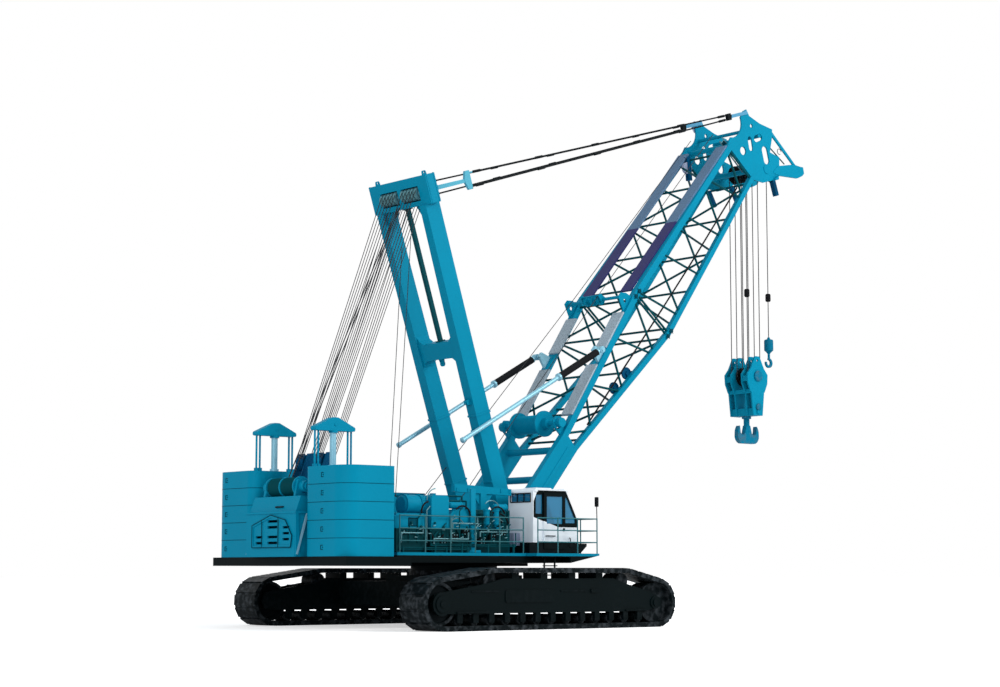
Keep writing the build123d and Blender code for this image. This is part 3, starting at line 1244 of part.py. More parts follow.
def boom_guide_rollers():
    """Stands on the upper chords with a cross shaft and its rope rollers, below the section joint."""
    s0, s1 = boom_joint_s - 830.0, boom_joint_s - 200.0
    rise = chord_rise(s0, s1)
    middle, axis_t = (s0 + s1) / 2, boom_joint_upper + 290.0
    parts = [cross_disc(middle, axis_t, 55.0, -boom_half + 110.0, boom_half - 110.0),
             cross_disc(middle + 190.0, axis_t - 170.0, 38.0, -boom_half + 110.0, boom_half - 110.0)]
    for side in (-1, 1):
        stand = [(s0, boom_section_at(s0)[0] + rise), (s1, boom_section_at(s1)[0] + rise),
                 (middle + 240.0, axis_t - 60.0), (middle + 90.0, axis_t + 110.0), (middle - 90.0, axis_t + 110.0)]
        y0, y1 = sorted((side * (boom_half - 130.0), side * (boom_half - 90.0)))
        plate = side_plate(stand, y0, y1)
        parts.append(plate.cut(cross_disc(middle, axis_t - 190.0, 60.0, y0 - 10.0, y1 + 10.0)))
        parts.append(side_plate([(middle - 120.0, axis_t - 40.0), (middle + 120.0, axis_t - 40.0),
                                 (middle + 60.0, axis_t + 240.0), (middle - 60.0, axis_t + 240.0)],
                                *sorted((side * 420.0, side * 450.0))))
    for y in (-300.0, 0.0, 300.0):
        parts.append(sheave(middle, axis_t, 165.0, y, 110.0, 50.0))
    parts.append(cross_disc(middle, axis_t + 200.0, 25.0, -440.0, 440.0))
    return [boom_at * p for p in weld(parts)]


def boom_guide_sheaves():
    """Two lead sheaves on brackets at the inner face of the right lower chord."""
    solids = []
    for s in guide_sheave_s:
        _, lower, half = boom_section_at(s)
        face = -(half - upper_chord / 2) + lower_chord / 2 + seat_gap
        t = lower + lower_chord / 2 + guide_sheave_rise
        base = block(s - 120.0, s + 120.0, face, face + 15.0, lower + 20.0, lower + lower_chord - 20.0)
        foot = block(s - 100.0, s + 100.0, face, face + 130.0, lower + lower_chord - 60.0, lower + lower_chord - 40.0)
        arms = [side_plate([(s - 100.0, lower + lower_chord - 60.0), (s + 100.0, lower + lower_chord - 60.0),
                            (s + 45.0, t + 45.0), (s - 45.0, t + 45.0)], y, y + 15.0) for y in (face + 15.0, face + 115.0)]
        wheel = sheave(s, t, 200.0, face + 72.5, 60.0, 28.0)
        solids += weld([base, foot, *arms, wheel, cross_disc(s, t, 30.0, face + 15.0, face + 130.0)])
    return [boom_at * p for p in solids]


def backstop_axis():
    """Pin and tip of the right-hand backstop's axis, its length and the sleeve's share."""
    px, pz = boom_point(backstop_pin_s, backstop_pin_t)
    return (px, backstop_y, pz), (backstop_tip_x, backstop_y, backstop_tip_z)


def backstops():
    """Struts that hang rearwards from the boom beside the mast: eye, tube, collars and rounded tip."""
    s, t = backstop_pin_s, backstop_pin_t
    rise = chord_rise(s - 230.0, s + 230.0)
    pin, tip = backstop_axis()
    along = Vector(*tip) - Vector(*pin)
    bracket = [(s - 230.0, boom_section_at(s - 230.0)[0] + rise), (s + 230.0, boom_section_at(s + 230.0)[0] + rise),
               (s + 90.0, t + 110.0), (s - 90.0, t + 110.0)]
    sleeve_end = backstop_sleeve_share * along.length
    profile = [(0.0, 0.0), (0.0, backstop_tube), (170.0, backstop_tube), (170.0, backstop_sleeve),
               (210.0, backstop_sleeve), (210.0, backstop_tube), (sleeve_end, backstop_tube),
               (sleeve_end, backstop_sleeve + 12.0), (sleeve_end + 70.0, backstop_sleeve + 12.0),
               (sleeve_end + 110.0, backstop_tube), (along.length - 120.0, backstop_tube),
               (along.length - 100.0, backstop_tube + 18.0), (along.length - 30.0, backstop_tube + 18.0),
               (along.length, backstop_tube * 0.5), (along.length, 0.0)]
    plane = Plane(origin=pin, x_dir=(0, 1, 0), z_dir=along)
    outline = Face(Wire.make_polygon([plane.from_local_coords((r, 0, a)) for a, r in profile], close=True))
    strut = Solid.revolve(outline, 360.0, Axis(pin, along))
    parts = [strut, boom_at * side_plate(bracket, boom_half - 160.0, boom_half - 60.0)]
    parts.append(cross_disc(pin[0], pin[2], 105.0, backstop_y - 95.0, backstop_y + 95.0))
    parts.append(cross_disc(pin[0], pin[2], 60.0, boom_half - 100.0, backstop_y + 130.0))
    return both_sides(weld(parts))


def backstop_sleeves():
    """Sleeves over the upper ends of the backstops, between their collars."""
    pin, tip = backstop_axis()
    along = Vector(*tip) - Vector(*pin)
    unit = along.normalized()
    a = Vector(*pin) + unit * (210.0 + seat_gap)
    b = Vector(*pin) + unit * (backstop_sleeve_share * along.length - seat_gap)
    tube = rod(tuple(a), tuple(b), backstop_sleeve)
    return both_sides(tube.cut(rod(tuple(a - unit * 5.0), tuple(b + unit * 5.0), backstop_tube + seat_gap)).solids())


def mast_frame():
    """Two box legs tied half way up by a flared cross plate, with the open head beam on top and forks at the foot."""
    parts = []
    depth, width = mast_leg_depth, mast_leg_width
    low_head = mast_length - mast_head_height
    for side in (-1, 1):
        foot, head = side * mast_leg_foot_y, side * mast_leg_head_y
        leg = [(400.0, foot - width / 2), (400.0, foot + width / 2), (low_head, head + width / 2 - 60.0),
               (low_head, head - width / 2 + 60.0)]
        parts.append(Pos(0, 0, -depth / 2) * plan_plate(leg, 0.0, depth))
        eye = [(-150.0, -80.0), (-80.0, -150.0), (420.0, -depth / 2), (420.0, depth / 2),
               (-80.0, 150.0), (-150.0, 80.0)]
        eye_plate = side_plate(eye, foot - width / 2, foot + width / 2)
        parts.append(eye_plate.cut(cross_disc(0.0, 0.0, mast_pin_radius, foot - 500.0, foot + 500.0)))
        splice = mast_length * 0.30
        y_at = mast_leg_foot_y + (mast_leg_head_y - mast_leg_foot_y) * 0.30
        parts.append(block(splice, splice + 60.0, side * y_at - width / 2, side * y_at + width / 2,
                           -depth / 2 - 25.0, depth / 2 + 25.0))
        foot_flange = block(1150.0, 1200.0, foot - width / 2, foot + width / 2, -depth / 2 - 30.0, depth / 2 + 30.0)
        parts.append(foot_flange)
        head_gusset = [(low_head - 620.0, side * (mast_leg_head_y - width / 2 + 70.0)),
                       (low_head + 20.0, side * (mast_leg_head_y - width / 2 + 70.0)),
                       (low_head + 20.0, side * (mast_leg_head_y - width / 2 - 260.0))]
        parts.append(Pos(0, 0, -mast_head_depth / 2 + 40.0) * plan_plate(head_gusset, 0.0, mast_head_depth - 80.0))
    half, flare = mast_leg_head_y - width / 2 + 20.0, mast_tie_flare
    tie = [(mast_tie_low - flare, half), (mast_tie_low - flare * 0.35, half - flare * 0.35),
           (mast_tie_low, half - flare * 0.8), (mast_tie_low, -half + flare * 0.8),
           (mast_tie_low - flare * 0.35, -half + flare * 0.35), (mast_tie_low - flare, -half),
           (mast_tie_high + flare, -half), (mast_tie_high + flare * 0.35, -half + flare * 0.35),
           (mast_tie_high, -half + flare * 0.8), (mast_tie_high, half - flare * 0.8),
           (mast_tie_high + flare * 0.35, half - flare * 0.35), (mast_tie_high + flare, half)]
    parts.append(Pos(0, 0, -depth / 2 + 60.0) * plan_plate(tie, 0.0, depth - 120.0))
    head = block(low_head, mast_length, -mast_head_half, mast_head_half, -mast_head_depth / 2, mast_head_depth / 2)
    for side in (-1, 1):
        bay = sorted((side * mast_bay_inner, side * mast_bay_outer))
        head = head.cut(block(mast_bay_low, mast_bay_high, *bay, -mast_head_depth / 2 + 50.0, mast_head_depth))
    parts.append(head)
    for y in (-mast_head_half * 0.82, mast_head_half * 0.82):
        eye = rounded_plate([(mast_length - 20.0, -90.0), (mast_length + 130.0, -60.0), (mast_length + 130.0, 60.0),
                             (mast_length - 20.0, 90.0)], 40.0, y - 25.0, y + 25.0)
        parts.append(eye.cut(cross_disc(mast_length + 70.0, 0.0, 32.0, y - 60.0, y + 60.0)))
    for z in (-mast_head_depth / 2 + 40.0, mast_head_depth / 2 - 60.0):
        parts.append(block(low_head - 12.0, mast_length + 12.0, -mast_head_half - 12.0, -mast_head_half + 20.0, z, z + 20.0))
        parts.append(block(low_head - 12.0, mast_length + 12.0, mast_head_half - 20.0, mast_head_half + 12.0, z, z + 20.0))
    return [mast_at * s for s in weld(parts)]


mast_link_s = mast_length - 480.0
mast_link_t = -mast_head_depth / 2 - 110.0


def mast_head_lugs():
    """Lugs on the front of the mast head with the link pins' bores."""
    parts = []
    for y in (-pendant_y - 95.0, -pendant_y + 35.0, pendant_y - 95.0, pendant_y + 35.0):
        lug = [(mast_link_s - 160.0, -mast_head_depth / 2 - seat_gap), (mast_link_s + 160.0, -mast_head_depth / 2 - seat_gap),
               (mast_link_s + 80.0, mast_link_t - 90.0), (mast_link_s - 80.0, mast_link_t - 90.0)]
        parts.append(side_plate(lug, y, y + 60.0))
    for y in (-pendant_y, pendant_y):
        parts.append(cross_disc(mast_link_s, mast_link_t, link_pin_radius - seat_gap, y - 95.0, y + 95.0))
    parts = weld(parts)
    return [mast_at * s for s in parts]


def mast_head_sheaves():
    """Two rows of grooved sheaves in the bays of the mast head, each on its shaft."""
    solids = []
    middle = (mast_bay_inner + mast_bay_outer) / 2
    pitch = (mast_bay_outer - mast_bay_inner) / mast_sheave_count
    for side in (-1, 1):
        parts = [cross_disc(mast_sheave_s, mast_sheave_t, 50.0, side * mast_bay_inner + side * seat_gap,
                            side * mast_bay_outer - side * seat_gap)]
        for k in range(mast_sheave_count):
            y = side * middle + (k - (mast_sheave_count - 1) / 2) * pitch
            parts.append(sheave(mast_sheave_s, mast_sheave_t, mast_sheave_radius, y, pitch * 0.72, 45.0))
        solids += weld(parts)
    return [mast_at * s for s in solids]


def mast_guides():
    """Brackets with guide rollers on the rear face of the right leg and the lead sheave under the cross plate."""
    parts = []
    rear = mast_leg_depth / 2 + seat_gap
    for s in (mast_tie_low - 1400.0, mast_tie_low - 2350.0):
        y = -(mast_leg_foot_y + (mast_leg_head_y - mast_leg_foot_y) * s / mast_length)
        bracket = [(s - 110.0, rear), (s + 110.0, rear), (s + 60.0, rear + 150.0), (s - 60.0, rear + 150.0)]
        one = [side_plate(bracket, y - 70.0, y - 50.0), side_plate(bracket, y + 50.0, y + 70.0),
               block(s - 110.0, s + 110.0, y - 70.0, y + 70.0, rear, rear + 15.0),
               cross_disc(s, rear + 110.0, 70.0, y - 40.0, y + 40.0), cross_disc(s, rear + 110.0, 20.0, y - 80.0, y + 80.0)]
        parts += weld(one)
    s, t = mast_tie_low - seat_gap, mast_leg_depth / 2 - 150.0
    hanger = [(s, t - 70.0), (s, t + 70.0), (s - 170.0, t + 40.0), (s - 170.0, t - 40.0)]
    one = [side_plate(hanger, -60.0, -42.0), side_plate(hanger, 42.0, 60.0), block(s - 15.0, s, -60.0, 60.0, t - 70.0, t + 70.0),
           cross_disc(s - 150.0, t, 85.0, -30.0, 30.0), cross_disc(s - 150.0, t, 20.0, -70.0, 70.0)]
    parts += weld(one)
    return [mast_at * p for p in parts]


def mast_stay():
    """Tube that hangs from the head beam to the cross plate between the legs."""
    upper, lower = mast_length - mast_head_height - seat_gap, mast_tie_high + seat_gap
    parts = [block(lower, upper, -mast_stay_half, mast_stay_half, -mast_stay_half, mast_stay_half)]
    for s in (lower, upper - 40.0):
        parts.append(block(s, s + 40.0, -mast_stay_half - 50.0, mast_stay_half + 50.0, -mast_stay_half - 50.0,
                           mast_stay_half + 50.0))
    return [mast_at * p for p in weld(parts)]


def pendants():
    """Link bars from the mast head, an equaliser each side, and a pair of pendants with their sockets and links."""
    mx, mz = mast_point(mast_link_s, mast_link_t)
    bx, bz = boom_point(pendant_pin_s, pendant_pin_t)
    angle = math.degrees(math.atan2(bz - mz, bx - mx))
    length = math.hypot(bx - mx, bz - mz)
    parts = [side_plate([(-70.0, -70.0), (link_length, -60.0), (link_length, 60.0), (-70.0, 70.0)], -30.0, 30.0)]
    rear, front = pendant_spread_rear / 2, pendant_spread_front / 2
    plate = [(link_length - 90.0, -75.0), (link_length - 10.0, -rear - 80.0), (link_length + 160.0, -rear - 80.0),
             (link_length + 160.0, rear + 80.0), (link_length - 10.0, rear + 80.0), (link_length - 90.0, 75.0)]
    parts.append(rounded_plate(plate, 30.0, -45.0, 45.0))
    start, end = link_length + 120.0, length - 900.0
    for side in (-1, 1):
        parts.append(rod((start, 0, side * rear), (end, 0, side * front), pendant_radius))
        for share in (0.03, 0.25, 0.46, 0.80, 0.97):
            x, z = start + (end - start) * share, side * (rear + (front - rear) * share)
            slope = side * (front - rear) / (end - start)
            parts.append(rod((x - 150.0, 0, z - 150.0 * slope), (x + 150.0, 0, z + 150.0 * slope), pendant_radius * 1.7))
    inner = head_plate / 2 + fork_gap
    outer = inner + fork_plate
    parts.append(rounded_plate([(end - 90.0, -120.0), (end + 90.0, -120.0), (end + 90.0, 120.0), (end - 90.0, 120.0)],
                               30.0, -outer, outer))
    for y0, y1 in ((-outer, -inner), (inner, outer)):
        parts += [side_plate([(end, -60.0), (length, -60.0), (length, 60.0), (end, 60.0)], y0, y1),
                  cross_disc(length, 0.0, 70.0, y0, y1)]
    one = weld(parts)[0].cut(cross_disc(0.0, 0.0, link_pin_radius, -60.0, 60.0)).solids()[0]
    one = turned(mx, mz, angle) * one
    return [Pos(0, pendant_y, 0) * one, Pos(0, -pendant_y, 0) * one]


def main_falls():
    """Rope parts between the boom head and the hook block."""
    x0, z0 = boom_point(head_sheave_s, head_sheave_t)
    reach = hoist_sheave_radius * groove_share + hoist_rope / 2 + seat_gap
    parts = []
    for y in hoist_sheave_places():
        for x in (x0 - reach, x0 + reach):
            parts.append(rod((x, y, block_sheave_z), (x, y, z0), hoist_rope / 2))
    return parts


def hook_block():
    """Octagonal cheek plates round the sheaves over a tapered body that carries the hook's cross head."""
    parts = []
    top, low, waist = block_top_z, block_bottom_z, block_top_z - 1280.0
    for y in (-560.0, -290.0, 230.0, 500.0):
        cheek = [(hook_x - 110.0, top), (hook_x + 110.0, top), (hook_x + 330.0, top - 420.0),
                 (hook_x + 520.0, top - 640.0), (hook_x + 500.0, top - 960.0), (hook_x + 350.0, waist),
                 (hook_x - 350.0, waist), (hook_x - 500.0, top - 960.0), (hook_x - 520.0, top - 640.0),
                 (hook_x - 330.0, top - 420.0)]
        plate = rounded_plate(cheek, 45.0, y, y + 60.0)
        parts.append(plate.cut(cross_disc(hook_x, top - 150.0, 45.0, y - 10.0, y + 70.0)))
        body = [(hook_x - 340.0, waist + 120.0), (hook_x + 340.0, waist + 120.0), (hook_x + 235.0, low),
                (hook_x - 235.0, low)]
        parts.append(side_plate(body, y, y + 60.0))
    for y0, y1 in ((-590.0, -555.0), (555.0, 590.0)):
        parts.append(cross_disc(hook_x, block_sheave_z, 170.0, y0, y1))
    parts.append(cross_disc(hook_x, block_sheave_z, 90.0, -530.0, 530.0))
    for x0, x1 in ((hook_x - 330.0, hook_x - 290.0), (hook_x + 290.0, hook_x + 330.0)):
        parts.append(block(x0, x1, -540.0, 540.0, waist - 40.0, waist + 100.0))
    for y0, y1 in ((-540.0, -240.0), (240.0, 540.0)):
        for x0, x1 in ((hook_x - 500.0, hook_x - 470.0), (hook_x + 470.0, hook_x + 500.0)):
            parts.append(block(x0, x1, y0, y1, top - 900.0, top - 700.0))
    parts.append(block(hook_x - 210.0, hook_x + 210.0, -540.0, 540.0, low, low + 260.0))
    parts.append(cross_disc(hook_x, low + 130.0, 80.0, -600.0, 600.0))
    return weld(parts)


def hook_block_sheaves():
    """Sheaves between the cheeks of the hook block."""
    return [sheave(hook_x, block_sheave_z, hoist_sheave_radius, y, hoist_sheave_width, 90.0 + seat_gap)
            for y in hoist_sheave_places()]


def main_hook():
    """Double hook: shank, collar and two arms with round throats."""
    bottom, half, shank = hook_bottom_z, hook_half_width, 105.0
    throat_x, throat_z = hook_x + half * 0.53, bottom + 300.0
    arm = [
        Line((hook_x - 1.0, bottom), (hook_x + half * 0.62, bottom)),
        ThreePointArc((hook_x + half * 0.62, bottom), (hook_x + half * 0.92, bottom + 110.0), (hook_x + half, bottom + 320.0)),
        ThreePointArc((hook_x + half, bottom + 320.0), (hook_x + half * 0.96, bottom + 490.0),
                      (hook_x + half * 0.82, bottom + 620.0)),
        Line((hook_x + half * 0.82, bottom + 620.0), (throat_x + 125.0, throat_z + 125.0)),
        ThreePointArc((throat_x + 125.0, throat_z + 125.0), (throat_x, throat_z), (throat_x - 125.0, throat_z + 125.0)),
        Line((throat_x - 125.0, throat_z + 125.0), (hook_x + shank * 0.9, bottom + 640.0)),
        Line((hook_x + shank * 0.9, bottom + 640.0), (hook_x - 1.0, bottom + 640.0)),
        Line((hook_x - 1.0, bottom + 640.0), (hook_x - 1.0, bottom)),
    ]
    flat = Solid.extrude(make_face(arm).face(), Vector(0, 0, 180.0))
    right = Pos(0, 90.0, 0) * (Rot(90, 0, 0) * flat)
    left = right.mirror(Plane(origin=(hook_x, 0, 0), z_dir=(1, 0, 0)))
    parts = [right, left, rod((hook_x, 0, bottom + 420.0), (hook_x, 0, block_bottom_z - seat_gap), shank)]
    parts.append(rod((hook_x, 0, block_bottom_z - 90.0), (hook_x, 0, block_bottom_z - seat_gap), shank + 60.0))
    return weld(parts)


def aux_line():
    """Single rope of the auxiliary hoist."""
    z = boom_point(aux_sheave_s, aux_sheave_t)[1]
    return [rod((ball_x, 0, ball_top_z + seat_gap), (ball_x, 0, z), hoist_rope / 2)]


def ball_hook():
    """Weight with turned ends and the hook of the auxiliary hoist."""
    top = ball_top_z
    profile = [(0.0, 0.0), (0.0, 40.0), (-60.0, 60.0), (-90.0, 150.0), (-130.0, 165.0), (-470.0, 165.0),
               (-560.0, 70.0), (-600.0, 45.0), (-780.0, 45.0), (-780.0, 0.0)]
    face = Face(Wire.make_polygon([(ball_x + r, 0, top + z) for z, r in profile], close=True))
    parts = [Solid.revolve(face, 360.0, Axis((ball_x, 0, 0), (0, 0, 1)))]
    centre = (ball_x - 20.0, top - 930.0)
    ring = cross_disc(*centre, 175.0, -35.0, 35.0).cut(cross_disc(centre[0] - 12.0, centre[1] + 10.0, 100.0, -60.0, 60.0))
    mouth = side_plate([(centre[0] - 20.0, centre[1] + 20.0), (centre[0] - 300.0, centre[1] + 60.0),
                        (centre[0] - 200.0, centre[1] + 260.0), (centre[0] - 25.0, centre[1] + 200.0)], -60.0, 60.0)
    parts += ring.cut(mouth).solids()
    return weld(parts)


pieces = {
    "carbody": carbody(),
    "slewing_bearing": slewing_bearing(),
    "track_frame_right": track_frame(-1),
    "track_frame_left": track_frame(1),
    "track_belt_right": track_belt(-1),
    "track_belt_left": track_belt(1),
    "track_sprockets": track_sprockets(),
    "track_idlers": track_idlers(),
    "track_rollers": track_rollers(),
    "deck_frame": deck_frame(),
    "foot_lugs": foot_lugs(),
    "foot_pins": foot_pins(),
    "counterweight_right": counterweight(-1),
    "counterweight_left": counterweight(1),
    "counterweight_lifting_gear": lifting_gear(),
    "lifting_rods": lifting_rods(),
    "rear_winch_frame": rear_winch_frame(),
    "mast_hoist_drum": mast_hoist_drum(),
    "mast_hoist_sheaves": mast_hoist_sheaves(),
    "deck_beam": deck_beam(),
    "main_hoist_drums": main_hoist_drums(),
    "engine_block": engine_block(),
    "left_housing": left_housing(),
    "right_housings": right_housings(),
    "hydraulic_pipes": hydraulic_pipes(),
    "backstop_receivers": backstop_receivers(),
    "handrails": handrails(),
    "cab_steps": cab_steps(),
    "cab_shell": cab_shell(),
    "cab_glass": cab_glass(),
    "operator_seat": operator_seat(),
    "cab_door": cab_door(),
    "cab_door_glass": cab_door_glass(),
    "boom_foot_section": boom_foot_section(),
    "boom_top_section": boom_top_section(),
    "boom_side_braces": boom_side_braces(),
    "boom_lacing": boom_lacing(),
    "boom_foot_ties": boom_foot_ties(),
    "boom_head": boom_head(),
    "boom_head_sheaves": boom_head_sheaves(),
    "boom_walkways": boom_walkways(),
    "boom_winch": boom_winch(),
    "boom_guide_rollers": boom_guide_rollers(),
    "boom_guide_sheaves": boom_guide_sheaves(),
    "backstops": backstops(),
    "backstop_sleeves": backstop_sleeves(),
    "mast_frame": mast_frame(),
    "mast_head_sheaves": mast_head_sheaves(),
    "mast_guides": mast_guides(),
    "mast_stay": mast_stay(),
    "mast_head_lugs": mast_head_lugs(),
    "pendants": pendants(),
    "main_falls": main_falls(),
    "hook_block": hook_block(),
    "hook_block_sheaves": hook_block_sheaves(),
    "main_hook": main_hook(),
    "aux_line": aux_line(),
    "ball_hook": ball_hook(),
}

os.makedirs("parts", exist_ok=True)
whole = Compound(children=[Compound(solids) for solids in pieces.values()]).bounding_box()
shift = Pos(-whole.center().X, 0, -whole.min.Z)
for name, solids in pieces.items():
    export_step(Compound([shift * s for s in solids]), f"parts/{name}.step")

shift_x = -whole.center().X
places = {
    "slew": (shift_x, 0.0, deck_bottom),
    "luff": (boom_pin_x + shift_x, 0.0, boom_pin_z),
    "mast": (mast_pin_x + shift_x, 0.0, mast_pin_z),
    "pendant": (mast_point(mast_link_s, mast_link_t)[0] + shift_x, 0.0, mast_point(mast_link_s, mast_link_t)[1]),
    "falls": (boom_point(head_sheave_s, head_sheave_t)[0] + shift_x, 0.0, boom_point(head_sheave_s, head_sheave_t)[1]),
    "aux": (boom_point(aux_sheave_s, aux_sheave_t)[0] + shift_x, 0.0, boom_point(aux_sheave_s, aux_sheave_t)[1]),
    "hook": (hook_x + shift_x, 0.0, hook_bottom_z),
    "ball": (ball_x + shift_x, 0.0, ball_top_z),
}
for name, (x, y, z) in places.items():
    print(f"place {name} {x:.3f} {y:.3f} {z:.3f}")
print(f"box {whole.size.X:.1f} {whole.size.Y:.1f} {whole.size.Z:.1f}")
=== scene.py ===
"""Crawler crane: paint, ropes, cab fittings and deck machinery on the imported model."""
from __future__ import annotations

import json
import logging
import math
from dataclasses import dataclass
from enum import Enum
from functools import cached_property
from typing import Iterable, Mapping, Sequence

import bmesh
import bpy
from mathutils import Matrix, Vector

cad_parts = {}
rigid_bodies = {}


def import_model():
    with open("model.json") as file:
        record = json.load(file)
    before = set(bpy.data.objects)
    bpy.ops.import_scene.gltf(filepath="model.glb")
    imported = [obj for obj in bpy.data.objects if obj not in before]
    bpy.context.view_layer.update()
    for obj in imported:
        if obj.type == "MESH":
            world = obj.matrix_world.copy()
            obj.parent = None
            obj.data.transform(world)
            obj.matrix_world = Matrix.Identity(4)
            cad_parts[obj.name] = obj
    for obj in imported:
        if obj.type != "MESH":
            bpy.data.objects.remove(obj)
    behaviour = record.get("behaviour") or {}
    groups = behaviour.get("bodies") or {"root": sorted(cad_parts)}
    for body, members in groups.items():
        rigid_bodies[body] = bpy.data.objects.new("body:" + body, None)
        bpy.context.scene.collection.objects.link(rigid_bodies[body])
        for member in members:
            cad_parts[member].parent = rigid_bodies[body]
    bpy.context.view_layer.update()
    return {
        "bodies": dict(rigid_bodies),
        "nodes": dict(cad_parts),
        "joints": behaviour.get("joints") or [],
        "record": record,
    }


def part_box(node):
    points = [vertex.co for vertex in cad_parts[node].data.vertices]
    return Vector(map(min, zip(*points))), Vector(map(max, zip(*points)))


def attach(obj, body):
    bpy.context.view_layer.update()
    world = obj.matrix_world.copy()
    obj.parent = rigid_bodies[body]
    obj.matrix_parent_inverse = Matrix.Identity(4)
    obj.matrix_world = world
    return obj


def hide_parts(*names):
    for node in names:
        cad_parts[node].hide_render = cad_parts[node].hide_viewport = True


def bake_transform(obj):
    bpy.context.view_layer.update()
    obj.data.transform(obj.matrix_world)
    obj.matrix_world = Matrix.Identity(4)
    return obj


log = logging.getLogger("crawler_crane")

Point = tuple[float, float, float]
Pair = tuple[float, float]
Colour = tuple[float, float, float]
Plane = tuple[Point, float]

LEFTWARD = Vector((0.0, 1.0, 0.0))
RIGHTWARD = Vector((0.0, -1.0, 0.0))
AHEAD = Vector((1.0, 0.0, 0.0))
UPWARD = Vector((0.0, 0.0, 1.0))


class Body(str, Enum):
    """The bodies that pieces ride on."""

    TURNTABLE = "turntable"
    DOOR = "cab_door"
    BOOM = "boom"
    MAST = "mast"
    MAIN_LINES = "main_lines"
    MAIN_BLOCK = "main_block"
    AUX_LINE = "aux_line"
    BALL_HOOK = "ball_hook"


class Look(Enum):
    """The finishes; a material has its look's name in small letters."""

    BLUE = "blue paint"
    BLUE_DEEP = "deep blue paint"
    BLACK = "black paint"
    TRACK = "track steel"
    STEEL = "bare steel"
    ENGINE = "engine grey"
    GLASS = "window glass"
    SEAT = "seat fabric"
    ROPE = "wire rope"
    HOOK = "hook paint"
    RUBBER = "rubber sleeve"
    BRACE = "green brace paint"
    CHROME = "rod steel"
    RAIL = "rail paint"
    BOX_GREY = "grey box paint"
    HOSE = "hose rubber"
    DECK = "deck paint"
    CAB = "cab paint"
    # turquoise paint with painted shade in two zones
    HOUSING_AND_SHADE = "housing paint"
    WALKWAY = "walkway sheet"
    LINK = "pendant paint"
    SEAM = "seam shadow"
    PIPE = "pale pipe"


class Pattern(Enum):
    """What is drawn over a finish's colour."""

    PLAIN = "plain"
    # painted shade in the grooves between a rope's strands
    STRANDS = "rope strands"
    MESH = "expanded metal"


class Net:
    """The nodes of a material, a world or a group, and the links between them."""

    def __init__(self, tree: bpy.types.NodeTree) -> None:
        """Takes the tree that nodes are added to.

        Args:
            tree: the node tree.
        """
        self.tree = tree

    @cached_property
    def place(self) -> bpy.types.NodeSocket:
        """The Object coordinates, from one node that the whole tree shares."""
        return self.node("ShaderNodeTexCoord").outputs["Object"]

    def node(self, kind: str) -> bpy.types.Node:
        """Adds a node of the kind that is named and returns it."""
        return self.tree.nodes.new(kind)

    def feed(self, source: bpy.types.NodeSocket | float, target: bpy.types.NodeSocket) -> None:
        """Gives an input its source.

        Args:
            source: the socket that is linked to it, or a value.
            target: the input.
        """
        if isinstance(source, bpy.types.NodeSocket):
            self.tree.links.new(source, target)
        else:
            target.default_value = source

    def math(self, operation: str, first: bpy.types.NodeSocket, second: bpy.types.NodeSocket | float
             ) -> bpy.types.NodeSocket:
        """Adds a sum of two values.

        Args:
            operation: Blender's name for what is done with them.
            first: the first value.
            second: the second value.

        Returns:
            The result's socket.
        """
        made = self.node("ShaderNodeMath")
        made.operation = operation
        self.feed(first, made.inputs[0])
        self.feed(second, made.inputs[1])
        return made.outputs["Value"]

    def ranged(self, value: bpy.types.NodeSocket, low: float, high: bpy.types.NodeSocket | float,
               to_low: float = 0.0, to_high: float = 1.0) -> bpy.types.NodeSocket:
        """Stretches a range of values onto another.

        Args:
            value: the value.
            low: value that gives to_low.
            high: value that gives to_high.
            to_low: result at low.
            to_high: result at high.

        Returns:
            The result's socket.
        """
        made = self.node("ShaderNodeMapRange")
        for name, source in (("Value", value), ("From Min", low), ("From Max", high), ("To Min", to_low),
                             ("To Max", to_high)):
            self.feed(source, made.inputs[name])
        return made.outputs["Result"]

    def noise(self, scale: bpy.types.NodeSocket | float, detail: float) -> bpy.types.NodeSocket:
        """Adds noise over the Object coordinates.

        Args:
            scale: its scale.
            detail: its detail.

        Returns:
            The noise's value, around 0.5.
        """
        made = self.node("ShaderNodeTexNoise")
        made.inputs["Detail"].default_value = detail
        self.feed(scale, made.inputs["Scale"])
        self.feed(self.place, made.inputs["Vector"])
        return made.outputs["Fac"]

    def ramp(self, factor: bpy.types.NodeSocket, low: Colour, high: Colour) -> bpy.types.NodeSocket:
        """Blends two colours by a factor that stays around a half.

        Args:
            factor: the factor.
            low: colour at 0.3 and under.
            high: colour at 0.7 and over.

        Returns:
            The colour's socket.
        """
        made = self.node("ShaderNodeValToRGB")
        for stop, position, colour in zip(made.color_ramp.elements, (0.3, 0.7), (low, high)):
            stop.position = position
            stop.color = (*colour, 1.0)
        self.feed(factor, made.inputs["Fac"])
        return made.outputs["Color"]

    def over(self, mask: bpy.types.NodeSocket, under: bpy.types.NodeSocket,
             colour: Colour) -> bpy.types.NodeSocket:
        """Lays a colour over another.

        Args:
            mask: 1 where the colour covers.
            under: the colour below.
            colour: the colour on top.

        Returns:
            The colour's socket.
        """
        mix = self.node("ShaderNodeMix")
        mix.data_type = "RGBA"
        self.feed(mask, mix.inputs["Factor"])
        self.feed(under, mix.inputs["A"])
        mix.inputs["B"].default_value = (*colour, 1.0)
        return mix.outputs["Result"]

    def group(self, tree: bpy.types.NodeTree, values: Mapping[str, float | Point]) -> bpy.types.Node:
        """Places a shared group.

        Args:
            tree: the group.
            values: values of its inputs by name.

        Returns:
            The group's node.
        """
        made = self.node("ShaderNodeGroup")
        made.node_tree = tree
        for name, value in values.items():
            made.inputs[name].default_value = value
        return made


